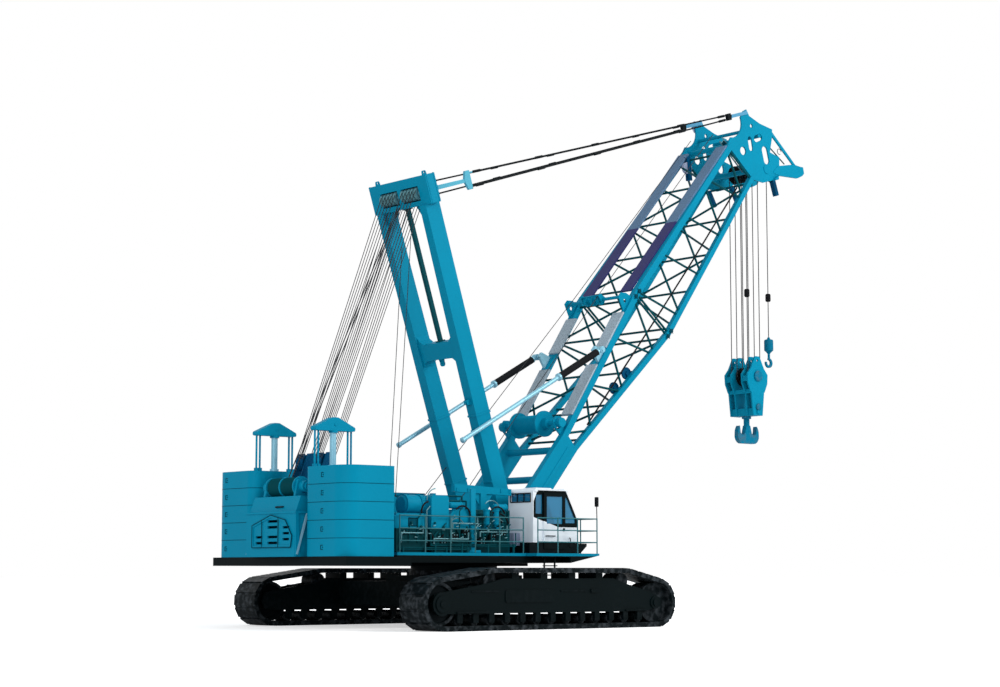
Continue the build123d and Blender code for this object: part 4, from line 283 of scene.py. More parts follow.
class GroupNet(Net):
    """A node group being wired."""

    def __init__(self, name: str, inputs: Mapping[str, float | None], outputs: Sequence[str]) -> None:
        """Starts the group and its sockets.

        Args:
            name: the group's name.
            inputs: value of each input while nothing is linked; None makes the input a vector.
            outputs: names of the outputs, which are all values.
        """
        super().__init__(bpy.data.node_groups.new(name, "ShaderNodeTree"))
        for title, value in inputs.items():
            kind = "NodeSocketVector" if value is None else "NodeSocketFloat"
            item = self.tree.interface.new_socket(name=title, in_out="INPUT", socket_type=kind)
            if value is not None:
                item.default_value = value
        for title in outputs:
            self.tree.interface.new_socket(name=title, in_out="OUTPUT", socket_type="NodeSocketFloat")
        self.inlet = self.node("NodeGroupInput")
        self.outlet = self.node("NodeGroupOutput")


class Groups:
    """Shader node groups that several finishes share, each built once."""

    @cached_property
    def edge_wear(self) -> bpy.types.NodeTree:
        """The group whose Mask is 1 where an edge is rubbed bare.

        Returns:
            The group.
        """
        net = GroupNet("edge_wear", {"Amount": 0.3, "Scale": 6.0}, ("Mask",))
        rough = net.noise(net.inlet.outputs["Scale"], 5.0)
        sharp = net.node("ShaderNodeNewGeometry").outputs["Pointiness"]
        rubbed = net.math("MULTIPLY", net.ranged(sharp, 0.52, 0.62), net.ranged(rough, 0.45, 0.65))
        net.feed(net.math("MULTIPLY", rubbed, net.inlet.outputs["Amount"]), net.outlet.inputs["Mask"])
        return net.tree

    @cached_property
    def dust(self) -> bpy.types.NodeTree:
        """The group whose Mask is 1 where dust covers the paint, most of all near the ground.

        Returns:
            The group.
        """
        net = GroupNet("dust", {"Amount": 0.3, "Height": 1.5}, ("Mask",))
        axes = net.node("ShaderNodeSeparateXYZ")
        net.feed(net.place, axes.inputs["Vector"])
        low = net.ranged(axes.outputs["Z"], 0.0, net.inlet.outputs["Height"], 1.0, 0.0)
        patch = net.math("MULTIPLY", low, net.noise(1.3, 8.0))
        net.feed(net.math("MULTIPLY", patch, net.inlet.outputs["Amount"]), net.outlet.inputs["Mask"])
        return net.tree

    @cached_property
    def half_space(self) -> bpy.types.NodeTree:
        """The group whose Mask is 1 where the distance along Direction is past Start.

        Returns:
            The group.
        """
        net = GroupNet("half_space", {"Direction": None, "Start": 0.0}, ("Mask",))
        reach = net.node("ShaderNodeVectorMath")
        reach.operation = "DOT_PRODUCT"
        net.feed(net.place, reach.inputs[0])
        net.feed(net.inlet.outputs["Direction"], reach.inputs[1])
        past = net.math("GREATER_THAN", reach.outputs["Value"], net.inlet.outputs["Start"])
        net.feed(past, net.outlet.inputs["Mask"])
        return net.tree

    @cached_property
    def mottle(self) -> bpy.types.NodeTree:
        """The group with a slow change of Tone over a painted sheet and a fine Height for a bump.

        Returns:
            The group.
        """
        net = GroupNet("mottle", {"Broad": 0.6, "Fine": 60.0}, ("Tone", "Height"))
        net.feed(net.noise(net.inlet.outputs["Broad"], 4.0), net.outlet.inputs["Tone"])
        net.feed(net.noise(net.inlet.outputs["Fine"], 2.0), net.outlet.inputs["Height"])
        return net.tree


@dataclass(frozen=True)
class Zone:
    """A part of a surface with a colour of its own, bounded by planes."""

    planes: tuple[Plane, ...]
    colour: Colour

    def mask(self, net: Net, groups: Groups) -> bpy.types.NodeSocket:
        """Finds where the zone is.

        Args:
            net: the material's nodes.
            groups: the shared node groups.

        Returns:
            A mask that is 1 beyond every one of the planes.
        """
        first, *others = [net.group(groups.half_space, {"Direction": direction, "Start": start})
                          for direction, start in self.planes]
        mask = first.outputs["Mask"]
        for other in others:
            mask = net.math("MULTIPLY", mask, other.outputs["Mask"])
        return mask


@dataclass(frozen=True)
class Finish:
    """A paint, metal or rubber and how it is worn."""

    look: Look
    colour: Colour
    slot: str
    roughness: float = 0.45
    metallic: float = 0.0
    specular: float = 0.05
    shade: float = 0.82
    wear: float = 0.0
    under: Colour = (0.12, 0.12, 0.12)
    dust: float = 0.0
    dust_height: float = 2.2
    dust_colour: Colour = (0.03, 0.03, 0.028)
    bump: float = 0.0
    bump_depth: float = 0.01
    pattern: Pattern = Pattern.PLAIN
    shinier: float = 0.08
    duller: float = 0.12
    zones: tuple[Zone, ...] = ()

    def material(self, groups: Groups) -> bpy.types.Material:
        """Builds the material.

        Args:
            groups: the shared node groups.

        Returns:
            The new material.
        """
        made = bpy.data.materials.new(self.look.name.lower())
        made.use_nodes = True
        net, shader = Net(made.node_tree), made.node_tree.nodes["Principled BSDF"]
        shader.inputs["Metallic"].default_value = self.metallic
        shader.inputs["Specular IOR Level"].default_value = self.specular
        mottle = net.group(groups.mottle, {})
        net.feed(self._colour(net, groups, mottle.outputs["Tone"]), shader.inputs["Base Color"])
        sheen = net.ranged(mottle.outputs["Tone"], 0.0, 1.0, self.roughness - self.shinier,
                           self.roughness + self.duller)
        net.feed(sheen, shader.inputs["Roughness"])
        if self.bump > 0:
            bump = net.node("ShaderNodeBump")
            bump.inputs["Strength"].default_value = self.bump
            bump.inputs["Distance"].default_value = self.bump_depth
            net.feed(mottle.outputs["Height"], bump.inputs["Height"])
            net.feed(bump.outputs["Normal"], shader.inputs["Normal"])
        return made

    def _colour(self, net: Net, groups: Groups, mottled: bpy.types.NodeSocket) -> bpy.types.NodeSocket:
        """Lays the paint, its zones and its pattern, then the wear and the dust; the housing zones and the
        rope's strand pattern are painted shade.

        Args:
            net: the material's nodes.
            groups: the shared node groups.
            mottled: the slow change of tone.

        Returns:
            The colour's socket.
        """
        tone = net.ramp(mottled, tuple(c * self.shade for c in self.colour), self.colour)
        for zone in self.zones:
            tone = net.over(zone.mask(net, groups), tone, zone.colour)
        if self.pattern is Pattern.STRANDS:
            tone = self._strand_shade(net, tone)
        if self.pattern is Pattern.MESH:
            tone = self._mesh(net, tone)
        if self.wear > 0:
            worn = net.group(groups.edge_wear, {"Amount": self.wear})
            tone = net.over(worn.outputs["Mask"], tone, self.under)
        if self.dust > 0:
            dusty = net.group(groups.dust, {"Amount": self.dust, "Height": self.dust_height})
            tone = net.over(dusty.outputs["Mask"], tone, self.dust_colour)
        return tone

    @staticmethod
    def _strand_shade(net: Net, tone: bpy.types.NodeSocket) -> bpy.types.NodeSocket:
        """Draws painted shade in the grooves between the strands of a wire rope.

        Args:
            net: the material's nodes.
            tone: the colour of the strands.

        Returns:
            The colour's socket.
        """
        shade_bands = net.node("ShaderNodeTexWave")
        shade_bands.bands_direction = "DIAGONAL"
        shade_bands.inputs["Scale"].default_value = 6.0
        net.feed(net.place, shade_bands.inputs["Vector"])
        # the dark diagonal bands are painted shade between the strands
        return net.over(shade_bands.outputs["Fac"], tone, (0.02, 0.02, 0.022))

    @staticmethod
    def _mesh(net: Net, tone: bpy.types.NodeSocket) -> bpy.types.NodeSocket:
        """Draws the dark openings of expanded metal.

        Args:
            net: the material's nodes.
            tone: the colour of the metal.

        Returns:
            The colour's socket.
        """
        cells = net.node("ShaderNodeTexVoronoi")
        cells.inputs["Scale"].default_value = 22.0
        net.feed(net.place, cells.inputs["Vector"])
        hole = net.ranged(cells.outputs["Distance"], 0.25, 0.45, 1.0, 0.0)
        return net.over(net.math("MULTIPLY", hole, 0.45), tone, (0.05, 0.055, 0.07))


@dataclass(frozen=True)
class GlassFinish:
    """Tinted window glass."""

    look: Look = Look.GLASS
    slot: str = "glass"
    colour: Colour = (0.02, 0.25, 0.46)
    roughness: float = 0.06
    transmission: float = 0.45

    def material(self, groups: Groups) -> bpy.types.Material:
        """Builds the material, which uses no shared group.

        Args:
            groups: the shared node groups.

        Returns:
            The new material.
        """
        made = bpy.data.materials.new(self.look.name.lower())
        made.use_nodes = True
        shader = made.node_tree.nodes["Principled BSDF"]
        shader.inputs["Base Color"].default_value = (*self.colour, 1.0)
        shader.inputs["Roughness"].default_value = self.roughness
        shader.inputs["Transmission Weight"].default_value = self.transmission
        return made


TURQUOISE: Colour = (0.0, 0.262, 0.425)
NEAR_BLACK: Colour = (0.002, 0.006, 0.007)
# painted shade low on the right housings
PAINTED_SHADE_TEAL: Colour = (0.0, 0.045, 0.055)
RUBBER_BLACK: Colour = (0.010, 0.011, 0.013)

FINISHES: tuple[Finish | GlassFinish, ...] = (
    Finish(Look.BLUE, TURQUOISE, "blue_paint", shade=0.92),
    Finish(Look.BLUE_DEEP, (0.0, 0.085, 0.20), "blue_paint", shade=0.8),
    Finish(Look.BLACK, NEAR_BLACK, "black_paint", roughness=0.5, wear=0.3, under=(0.02, 0.025, 0.03)),
    Finish(Look.TRACK, (0.004, 0.008, 0.010), "track_steel", roughness=0.5, metallic=0.3, shade=0.6,
           wear=0.7, under=(0.06, 0.07, 0.08), dust=0.08, bump=0.25),
    Finish(Look.STEEL, (0.42, 0.43, 0.44), "bare_steel", roughness=0.32, metallic=1.0),
    Finish(Look.ENGINE, (0.03, 0.045, 0.05), "engine_grey", roughness=0.5, wear=0.5),
    GlassFinish(),
    Finish(Look.SEAT, (0.02, 0.02, 0.025), "seat_fabric", roughness=0.8, bump=0.4),
    # the rope's strand pattern is painted shade between its strands
    Finish(Look.ROPE, (0.075, 0.078, 0.085), "wire_rope", roughness=0.5, metallic=0.3,
           pattern=Pattern.STRANDS),
    Finish(Look.HOOK, (0.0, 0.19, 0.33), "hook_paint", roughness=0.42, wear=0.4),
    Finish(Look.RUBBER, RUBBER_BLACK, "black_paint", roughness=0.62, bump=0.2),
    Finish(Look.BRACE, (0.0, 0.075, 0.095), "blue_paint", shade=0.8),
    Finish(Look.CHROME, (0.30, 0.60, 0.74), "bare_steel", roughness=0.3, metallic=0.2),
    Finish(Look.RAIL, (0.05, 0.20, 0.23), "white_paint"),
    Finish(Look.BOX_GREY, (0.38, 0.44, 0.60), "white_paint"),
    Finish(Look.HOSE, RUBBER_BLACK, "black_paint", roughness=0.55),
    Finish(Look.SEAM, (0.0, 0.055, 0.085), "blue_paint", roughness=0.6),
    Finish(Look.PIPE, (0.13, 0.30, 0.34), "bare_steel", roughness=0.35, metallic=0.3),
)


@dataclass(frozen=True)
class Datum:
    """Places and angles that everything is set out from."""

    slew_x: float
    boom_pin: Pair
    mast_pin: Pair
    boom_angle: float = math.radians(50.5)
    mast_angle: float = math.radians(108.0)

    @classmethod
    def read(cls, record: dict) -> Datum:
        """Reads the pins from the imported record.

        Args:
            record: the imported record.

        Returns:
            The datum.
        """
        joints = {joint["name"]: joint for joint in record["behaviour"]["joints"]}
        luff, mast = joints["boom_luff"]["pos_m"], joints["mast_raise"]["pos_m"]
        return cls(joints["slew"]["pos_m"][0], (luff[0], luff[2]), (mast[0], mast[2]))

    @staticmethod
    def _beyond(pin: Pair, angle: float, s: float, y: float, t: float) -> Vector:
        """A point given along a member from its foot pin, and across it.

        Args:
            pin: the pin's X and Z.
            angle: the member's angle in radians.
            s: distance along the member.
            y: distance from the crane's middle plane.
            t: distance above the member's axis.

        Returns:
            The point.
        """
        c, d = math.cos(angle), math.sin(angle)
        return Vector((pin[0] + s * c - t * d, y, pin[1] + s * d + t * c))

    def deck(self, x: float, y: float, z: float) -> Vector:
        """A point given by its distance ahead of the slewing axis, its side and its height."""
        return Vector((x + self.slew_x, y, z))

    def boom(self, s: float, y: float, t: float) -> Vector:
        """A point given along the boom, to its side and above its axis."""
        return self._beyond(self.boom_pin, self.boom_angle, s, y, t)

    def mast(self, s: float, y: float, t: float) -> Vector:
        """A point given along the mast, to its side and above its axis."""
        return self._beyond(self.mast_pin, self.mast_angle, s, y, t)


def above(z: float) -> Plane:
    """The plane above which a zone lies."""
    return (0.0, 0.0, 1.0), z


def below(z: float) -> Plane:
    """The plane below which a zone lies."""
    return (0.0, 0.0, -1.0), -z


def ahead_of(x: float) -> Plane:
    """The plane ahead of which a zone lies."""
    return (1.0, 0.0, 0.0), x


def behind(x: float) -> Plane:
    """The plane behind which a zone lies."""
    return (-1.0, 0.0, 0.0), -x


def left_of(y: float) -> Plane:
    """The plane to the left of which a zone lies."""
    return (0.0, 1.0, 0.0), y


def right_of(y: float) -> Plane:
    """The plane to the right of which a zone lies."""
    return (0.0, -1.0, 0.0), -y


def leaning(normal: Point, x: float, z: float) -> Plane:
    """The plane through a place in side view, beyond which a zone lies along the normal."""
    return normal, normal[0] * x + normal[2] * z


@dataclass(frozen=True)
class PaintPlan:
    """Where colours change on a piece: heights, distances ahead of the slewing axis and along the boom."""

    datum: Datum
    deck_edge: float = 2.135
    cab_base: float = 2.55
    window_top: float = 4.13
    window_sill: float = 3.02
    window_rear: float = 0.88
    pillar: Point = (-0.878, 0.0, -0.479)
    pillar_foot: Pair = (2.66, 3.29)
    sill_slope: Point = (0.298, 0.0, 0.954)
    sill_middle: Pair = (1.8, 3.03)
    rear_slope: Point = (0.894, 0.0, -0.447)
    rear_corner: Pair = (0.88, 3.80)
    violet_start: float = 9.15
    violet_end: float = 12.6
    rear_links_end: float = -4.45
    front_links_start: float = 7.3
    # bounds of the painted shade on the housings
    housing_shade_top: float = 2.91
    inner_wall_top: float = 4.06
    inner_wall: float = 1.87
    inner_wall_rear: float = -4.6

    def deck(self) -> Finish:
        """Black deck frame with turquoise above its edge."""
        return Finish(Look.DECK, NEAR_BLACK, "black_paint", roughness=0.5,
                      zones=(Zone((above(self.deck_edge),), TURQUOISE),))

    def cab(self) -> Finish:
        """White cab with a black window band and a black base.

        Returns:
            The finish.
        """
        x = self.datum.slew_x
        band = (below(self.window_top), above(self.window_sill), ahead_of(self.window_rear + x),
                leaning(self.pillar, self.pillar_foot[0] + x, self.pillar_foot[1]),
                leaning(self.sill_slope, self.sill_middle[0] + x, self.sill_middle[1]),
                leaning(self.rear_slope, self.rear_corner[0] + x, self.rear_corner[1]))
        return Finish(Look.CAB, (0.88, 0.94, 1.0), "white_paint", roughness=0.36, shade=0.96,
                      zones=(Zone(band, NEAR_BLACK), Zone((below(self.cab_base),), NEAR_BLACK)))

    def walkway(self) -> Finish:
        """Bare walkways with a violet and a bluish stretch.

        Returns:
            The finish.
        """
        along = (math.cos(self.datum.boom_angle), 0.0, math.sin(self.datum.boom_angle))
        back = (-along[0], 0.0, -along[2])
        foot = self.datum.boom_pin[0] * along[0] + self.datum.boom_pin[1] * along[2]
        violet = Zone(((along, foot + self.violet_start), (back, -foot - self.violet_end)),
                      (0.035, 0.035, 0.15))
        bluish = Zone(((along, foot + self.violet_end),), (0.12, 0.22, 0.36))
        return Finish(Look.WALKWAY, (0.42, 0.52, 0.60), "walkway_metal", metallic=0.2, pattern=Pattern.MESH,
                      zones=(violet, bluish))

    def links(self) -> Finish:
        """Black pendants with pale blue links at both ends."""
        return Finish(Look.LINK, (0.005, 0.008, 0.01), "blue_paint",
                      zones=(Zone((behind(self.rear_links_end),), (0.10, 0.42, 0.56)),
                             Zone((ahead_of(self.front_links_start),), (0.10, 0.32, 0.50))))

    def housings(self) -> Finish:
        """Turquoise housings with painted shade low on the right side and on the inner left wall behind the
        machinery.

        Returns:
            The finish.
        """
        # both zones are painted shade where machinery stands before the housings
        base = Zone((below(self.housing_shade_top), right_of(0.0)), PAINTED_SHADE_TEAL)
        wall = Zone((below(self.inner_wall_top), right_of(self.inner_wall),
                     ahead_of(self.datum.slew_x + self.inner_wall_rear), left_of(0.0)), (0.0, 0.10, 0.15))
        return Finish(Look.HOUSING_AND_SHADE, TURQUOISE, "blue_paint", shade=0.9, zones=(base, wall))

    def finishes(self) -> tuple[Finish, ...]:
        """All the finishes that change colour on a piece."""
        return self.deck(), self.cab(), self.walkway(), self.links(), self.housings()


class Palette:
    """All the finishes as materials."""

    def __init__(self, datum: Datum) -> None:
        """Builds each finish once.

        Args:
            datum: the crane's datum, which the zones are set out from.
        """
        groups = Groups()
        self.finish = {item.look: item for item in (*FINISHES, *PaintPlan(datum).finishes())}
        self.made = {look: item.material(groups) for look, item in self.finish.items()}

    def dress(self, thing: bpy.types.Object, look: Look) -> None:
        """Puts one finish on a new piece.

        Args:
            thing: the piece.
            look: its finish.
        """
        thing.data.materials.clear()
        thing.data.materials.append(self.made[look])

    def dress_node(self, thing: bpy.types.Object, look: Look) -> None:
        """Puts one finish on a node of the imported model.

        Args:
            thing: the node's object.
            look: its finish.
        """
        if not thing.material_slots:
            thing.data.materials.append(self.made[look])
        for place in thing.material_slots:
            place.material = self.made[look]


@dataclass(frozen=True)
class Block:
    """A box given from the slewing axis by two corners, with the width of its eased edges."""

    low: Point
    high: Point
    bevel: float


@dataclass(frozen=True)
class Bar:
    """A square bar between two places along the boom, with its size along Y and across."""

    start: Point
    end: Point
    width: float
    depth: float


@dataclass(frozen=True)
class Bend:
    """A hose bent in side view: its centre from the slewing axis, its radius and its arc in degrees."""

    centre: Point
    radius: float
    start: float
    sweep: float


class Shape:
    """A mesh under construction."""

    bend_ball = 1.04
    head_height = 0.8
    head_taper = 0.92

    def __init__(self) -> None:
        """Starts empty."""
        self.mesh = bmesh.new()

    def tube(self, start: Vector, end: Vector, radius: float, sides: int = 10,
             tip: float | None = None) -> Shape:
        """Adds a round bar between two points.

        Args:
            start: one end.
            end: the other end.
            radius: its radius.
            sides: sides of its section.
            tip: radius at the end, where it tapers.

        Returns:
            This shape.
        """
        along = end - start
        turn = along.to_track_quat("Z", "Y").to_matrix().to_4x4()
        place = Matrix.Translation((start + end) / 2) @ turn
        bmesh.ops.create_cone(self.mesh, cap_ends=True, segments=sides, radius1=radius,
                              radius2=radius if tip is None else tip, depth=along.length, matrix=place)
        return self

    def run(self, points: Sequence[Vector], radius: float, sides: int = 8) -> Shape:
        """Adds a pipe through several points, with a ball at each bend.

        Args:
            points: the points in order.
            radius: the pipe's radius.
            sides: sides of its section.

        Returns:
            This shape.
        """
        for a, b in zip(points, points[1:]):
            self.tube(a, b, radius, sides)
        for p in points[1:-1]:
            bmesh.ops.create_icosphere(self.mesh, subdivisions=1, radius=radius * self.bend_ball,
                                       matrix=Matrix.Translation(p))
        return self

    def beam(self, start: Vector, end: Vector, width: float, depth: float) -> Shape:
        """Adds a square bar between two points, its width along Y where it can be.

        Args:
            start: one end.
            end: the other end.
            width: size along Y.
            depth: size across.

        Returns:
            This shape.
        """
        along = end - start
        axis = along.normalized()
        side = LEFTWARD if abs(axis.y) < 0.9 else AHEAD
        side = (side - axis * side.dot(axis)).normalized()
        turn = Matrix((side, axis.cross(side), axis)).transposed().to_4x4()
        size = Matrix.Diagonal((width, depth, along.length, 1.0))
        bmesh.ops.create_cube(self.mesh, size=1.0, matrix=Matrix.Translation((start + end) / 2) @ turn @ size)
        return self

    def box(self, low: Vector, high: Vector, bevel: float) -> Shape:
        """Adds a box between two corners, with its edges eased.

        Args:
            low: lowest corner.
            high: highest corner.
            bevel: width of the eased edges.

        Returns:
            This shape.
        """
        size = Matrix.Diagonal((*(high - low), 1.0))
        made = bmesh.ops.create_cube(self.mesh, size=1.0, matrix=Matrix.Translation((low + high) / 2) @ size)
        edges = {edge for vert in made["verts"] for edge in vert.link_edges}
        bmesh.ops.bevel(self.mesh, geom=list(edges), offset=bevel, segments=2, profile=0.5, affect="EDGES",
                        material=-1)
        return self

    def plate(self, outline: Sequence[Vector], thickness: Vector, bevel: float = 0.0) -> Shape:
        """Adds a plate from its outline.

        Args:
            outline: the corners of one face, in order.
            thickness: from that face to the other.
            bevel: width of the eased edges.

        Returns:
            This shape.
        """
        corners = [self.mesh.verts.new(p) for p in outline]
        face = bmesh.ops.contextual_create(self.mesh, geom=corners)["faces"]
        grown = bmesh.ops.extrude_face_region(self.mesh, geom=face, use_keep_orig=True)["geom"]
        moved = [item for item in grown if isinstance(item, bmesh.types.BMVert)]
        bmesh.ops.translate(self.mesh, vec=thickness, verts=moved)
        faces = {f for vert in corners + moved for f in vert.link_faces}
        bmesh.ops.recalc_face_normals(self.mesh, faces=list(faces))
        if bevel > 0:
            edges = {edge for vert in corners + moved for edge in vert.link_edges}
            bmesh.ops.bevel(self.mesh, geom=list(edges), offset=bevel, segments=1, profile=0.5,
                            affect="EDGES", material=-1)
        return self

    def lathe(self, profile: Sequence[Pair], centre: Vector, axis: Vector, steps: int = 32) -> Shape:
        """Adds a turned solid.

        Args:
            profile: (distance along the axis, radius) of each corner, in order.
            centre: a point on the axis, where the distance is 0.
            axis: direction of the axis, of length 1.
            steps: divisions of the turn.

        Returns:
            This shape.
        """
        side = axis.orthogonal().normalized()
        verts = [self.mesh.verts.new(centre + axis * a + side * r) for a, r in profile]
        edges = [self.mesh.edges.new(pair) for pair in zip(verts, verts[1:])]
        bmesh.ops.spin(self.mesh, geom=verts + edges, cent=centre, axis=axis, angle=math.tau, steps=steps,
                       use_merge=True)
        return self

    def loop(self, points: Sequence[Vector], width: float, depth: float) -> Shape:
        """Adds a closed frame of square bars.

        Args:
            points: its corners in order.
            width: size along Y.
            depth: size across.

        Returns:
            This shape.
        """
        for a, b in zip(points, [*points[1:], points[0]]):
            self.beam(a, b, width, depth)
        return self

    def bolts(self, centre: Vector, axis: Vector, ring: float, count: int, size: float) -> Shape:
        """Adds a ring of six-sided bolt heads.

        Args:
            centre: centre of the ring, on the surface.
            axis: direction that the heads face.
            ring: radius of the ring.
            count: number of bolts.
            size: radius of a head.

        Returns:
            This shape.
        """
        side = axis.orthogonal().normalized()
        other = axis.cross(side)
        for k in range(count):
            turn = math.tau * k / count
            foot = centre + (side * math.cos(turn) + other * math.sin(turn)) * ring
            self.tube(foot, foot + axis * size * self.head_height, size, 6, size * self.head_taper)
        return self

    def arc(self, centre: Vector, radius: float, thickness: float, start: float, sweep: float,
            steps: int = 12) -> Shape:
        """Adds a bar bent in side view.

        Args:
            centre: centre of the bend.
            radius: radius of the bend.
            thickness: the bar's radius.
            start: angle of the first end in degrees.
            sweep: angle that it turns through in degrees.
            steps: straight parts.

        Returns:
            This shape.
        """
        turns = [math.radians(start + sweep * k / steps) for k in range(steps + 1)]
        return self.run([centre + Vector((math.cos(a), 0.0, math.sin(a))) * radius for a in turns], thickness)

    def mirrored(self) -> Shape:
        """Adds the mirror image on the other side of the crane.

        Returns:
            This shape.
        """
        whole = [*self.mesh.verts, *self.mesh.edges, *self.mesh.faces]
        copy = bmesh.ops.duplicate(self.mesh, geom=whole)
        verts = [item for item in copy["geom"] if isinstance(item, bmesh.types.BMVert)]
        faces = [item for item in copy["geom"] if isinstance(item, bmesh.types.BMFace)]
        bmesh.ops.scale(self.mesh, vec=(1.0, -1.0, 1.0), verts=verts)
        bmesh.ops.reverse_faces(self.mesh, faces=faces)
        return self

    def done(self, name: str, smooth: float | None = None, closed: bool = True) -> bpy.types.Object:
        """Turns the shape into an object at the origin.

        Args:
            name: the object's name.
            smooth: angle in degrees under which edges are shaded smooth.
            closed: whether it is closed, so that its faces can be turned outwards.

        Returns:
            The object.
        """
        if closed:
            bmesh.ops.recalc_face_normals(self.mesh, faces=list(self.mesh.faces))
        data = bpy.data.meshes.new(name)
        self.mesh.to_mesh(data)
        self.mesh.free()
        thing = bpy.data.objects.new(name, data)
        bpy.context.scene.collection.objects.link(thing)
        if smooth is not None:
            data.shade_smooth()
            data.set_sharp_from_angle(angle=math.radians(smooth))
        return thing


class Workshop:
    """What every sub-assembly needs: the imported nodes, the datum and the finishes."""

    rope_sides = 6
    rope_smooth = 60.0

    def __init__(self, frame: dict) -> None:
        """Reads the frame and builds the finishes.
        """
        self.nodes: dict[str, bpy.types.Object] = frame["nodes"]
        self.datum = Datum.read(frame["record"])
        self.palette = Palette(self.datum)

    def block(self, shape: Shape, block: Block) -> None:
        """Adds a box that is given from the slewing axis."""
        shape.box(self.datum.deck(*block.low), self.datum.deck(*block.high), block.bevel)

    def fit(self, shape: Shape, name: str, look: Look, body: Body, smooth: float = 35.0) -> None:
        """Finishes a shape as a piece that rides on a body.

        Args:
            shape: the shape.
            name: the piece's name.
            look: its finish.
            body: the body that it rides on.
            smooth: angle under which edges are shaded smooth.
        """
        thing = shape.done(name, smooth)
        self.palette.dress(thing, look)
        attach(thing, body.value)
        log.info("%s: %d faces on %s", name, len(thing.data.polygons), body.value)

    def rope(self, name: str, lines: Iterable[tuple[Vector, Vector]], radius: float,
             bodies: tuple[Body, Body], start: Vector, end: Vector, replaces: Sequence[str] = ()) -> None:
        """Makes straight rope parts that run from one body to another.

        Args:
            name: the piece's name.
            lines: both ends of each part, the first end on the first body.
            radius: the rope's radius.
            bodies: the two bodies.
            start: where the first body's hold ends; not used.
            end: where the second body's hold starts; not used.
            replaces: nodes that it stands for.
        """
        shape = Shape()
        for a, b in lines:
            shape.tube(a, b, radius, self.rope_sides)
        thing = shape.done(name, self.rope_smooth)
        self.palette.dress(thing, Look.ROPE)
        if bodies[0] == bodies[1]:
            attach(thing, bodies[0].value)
        else:
            tuple(start)
            tuple(end)
            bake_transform(thing)
        if replaces:
            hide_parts(*replaces)
        log.info("%s: rope from %s to %s", name, bodies[0].value, bodies[1].value)


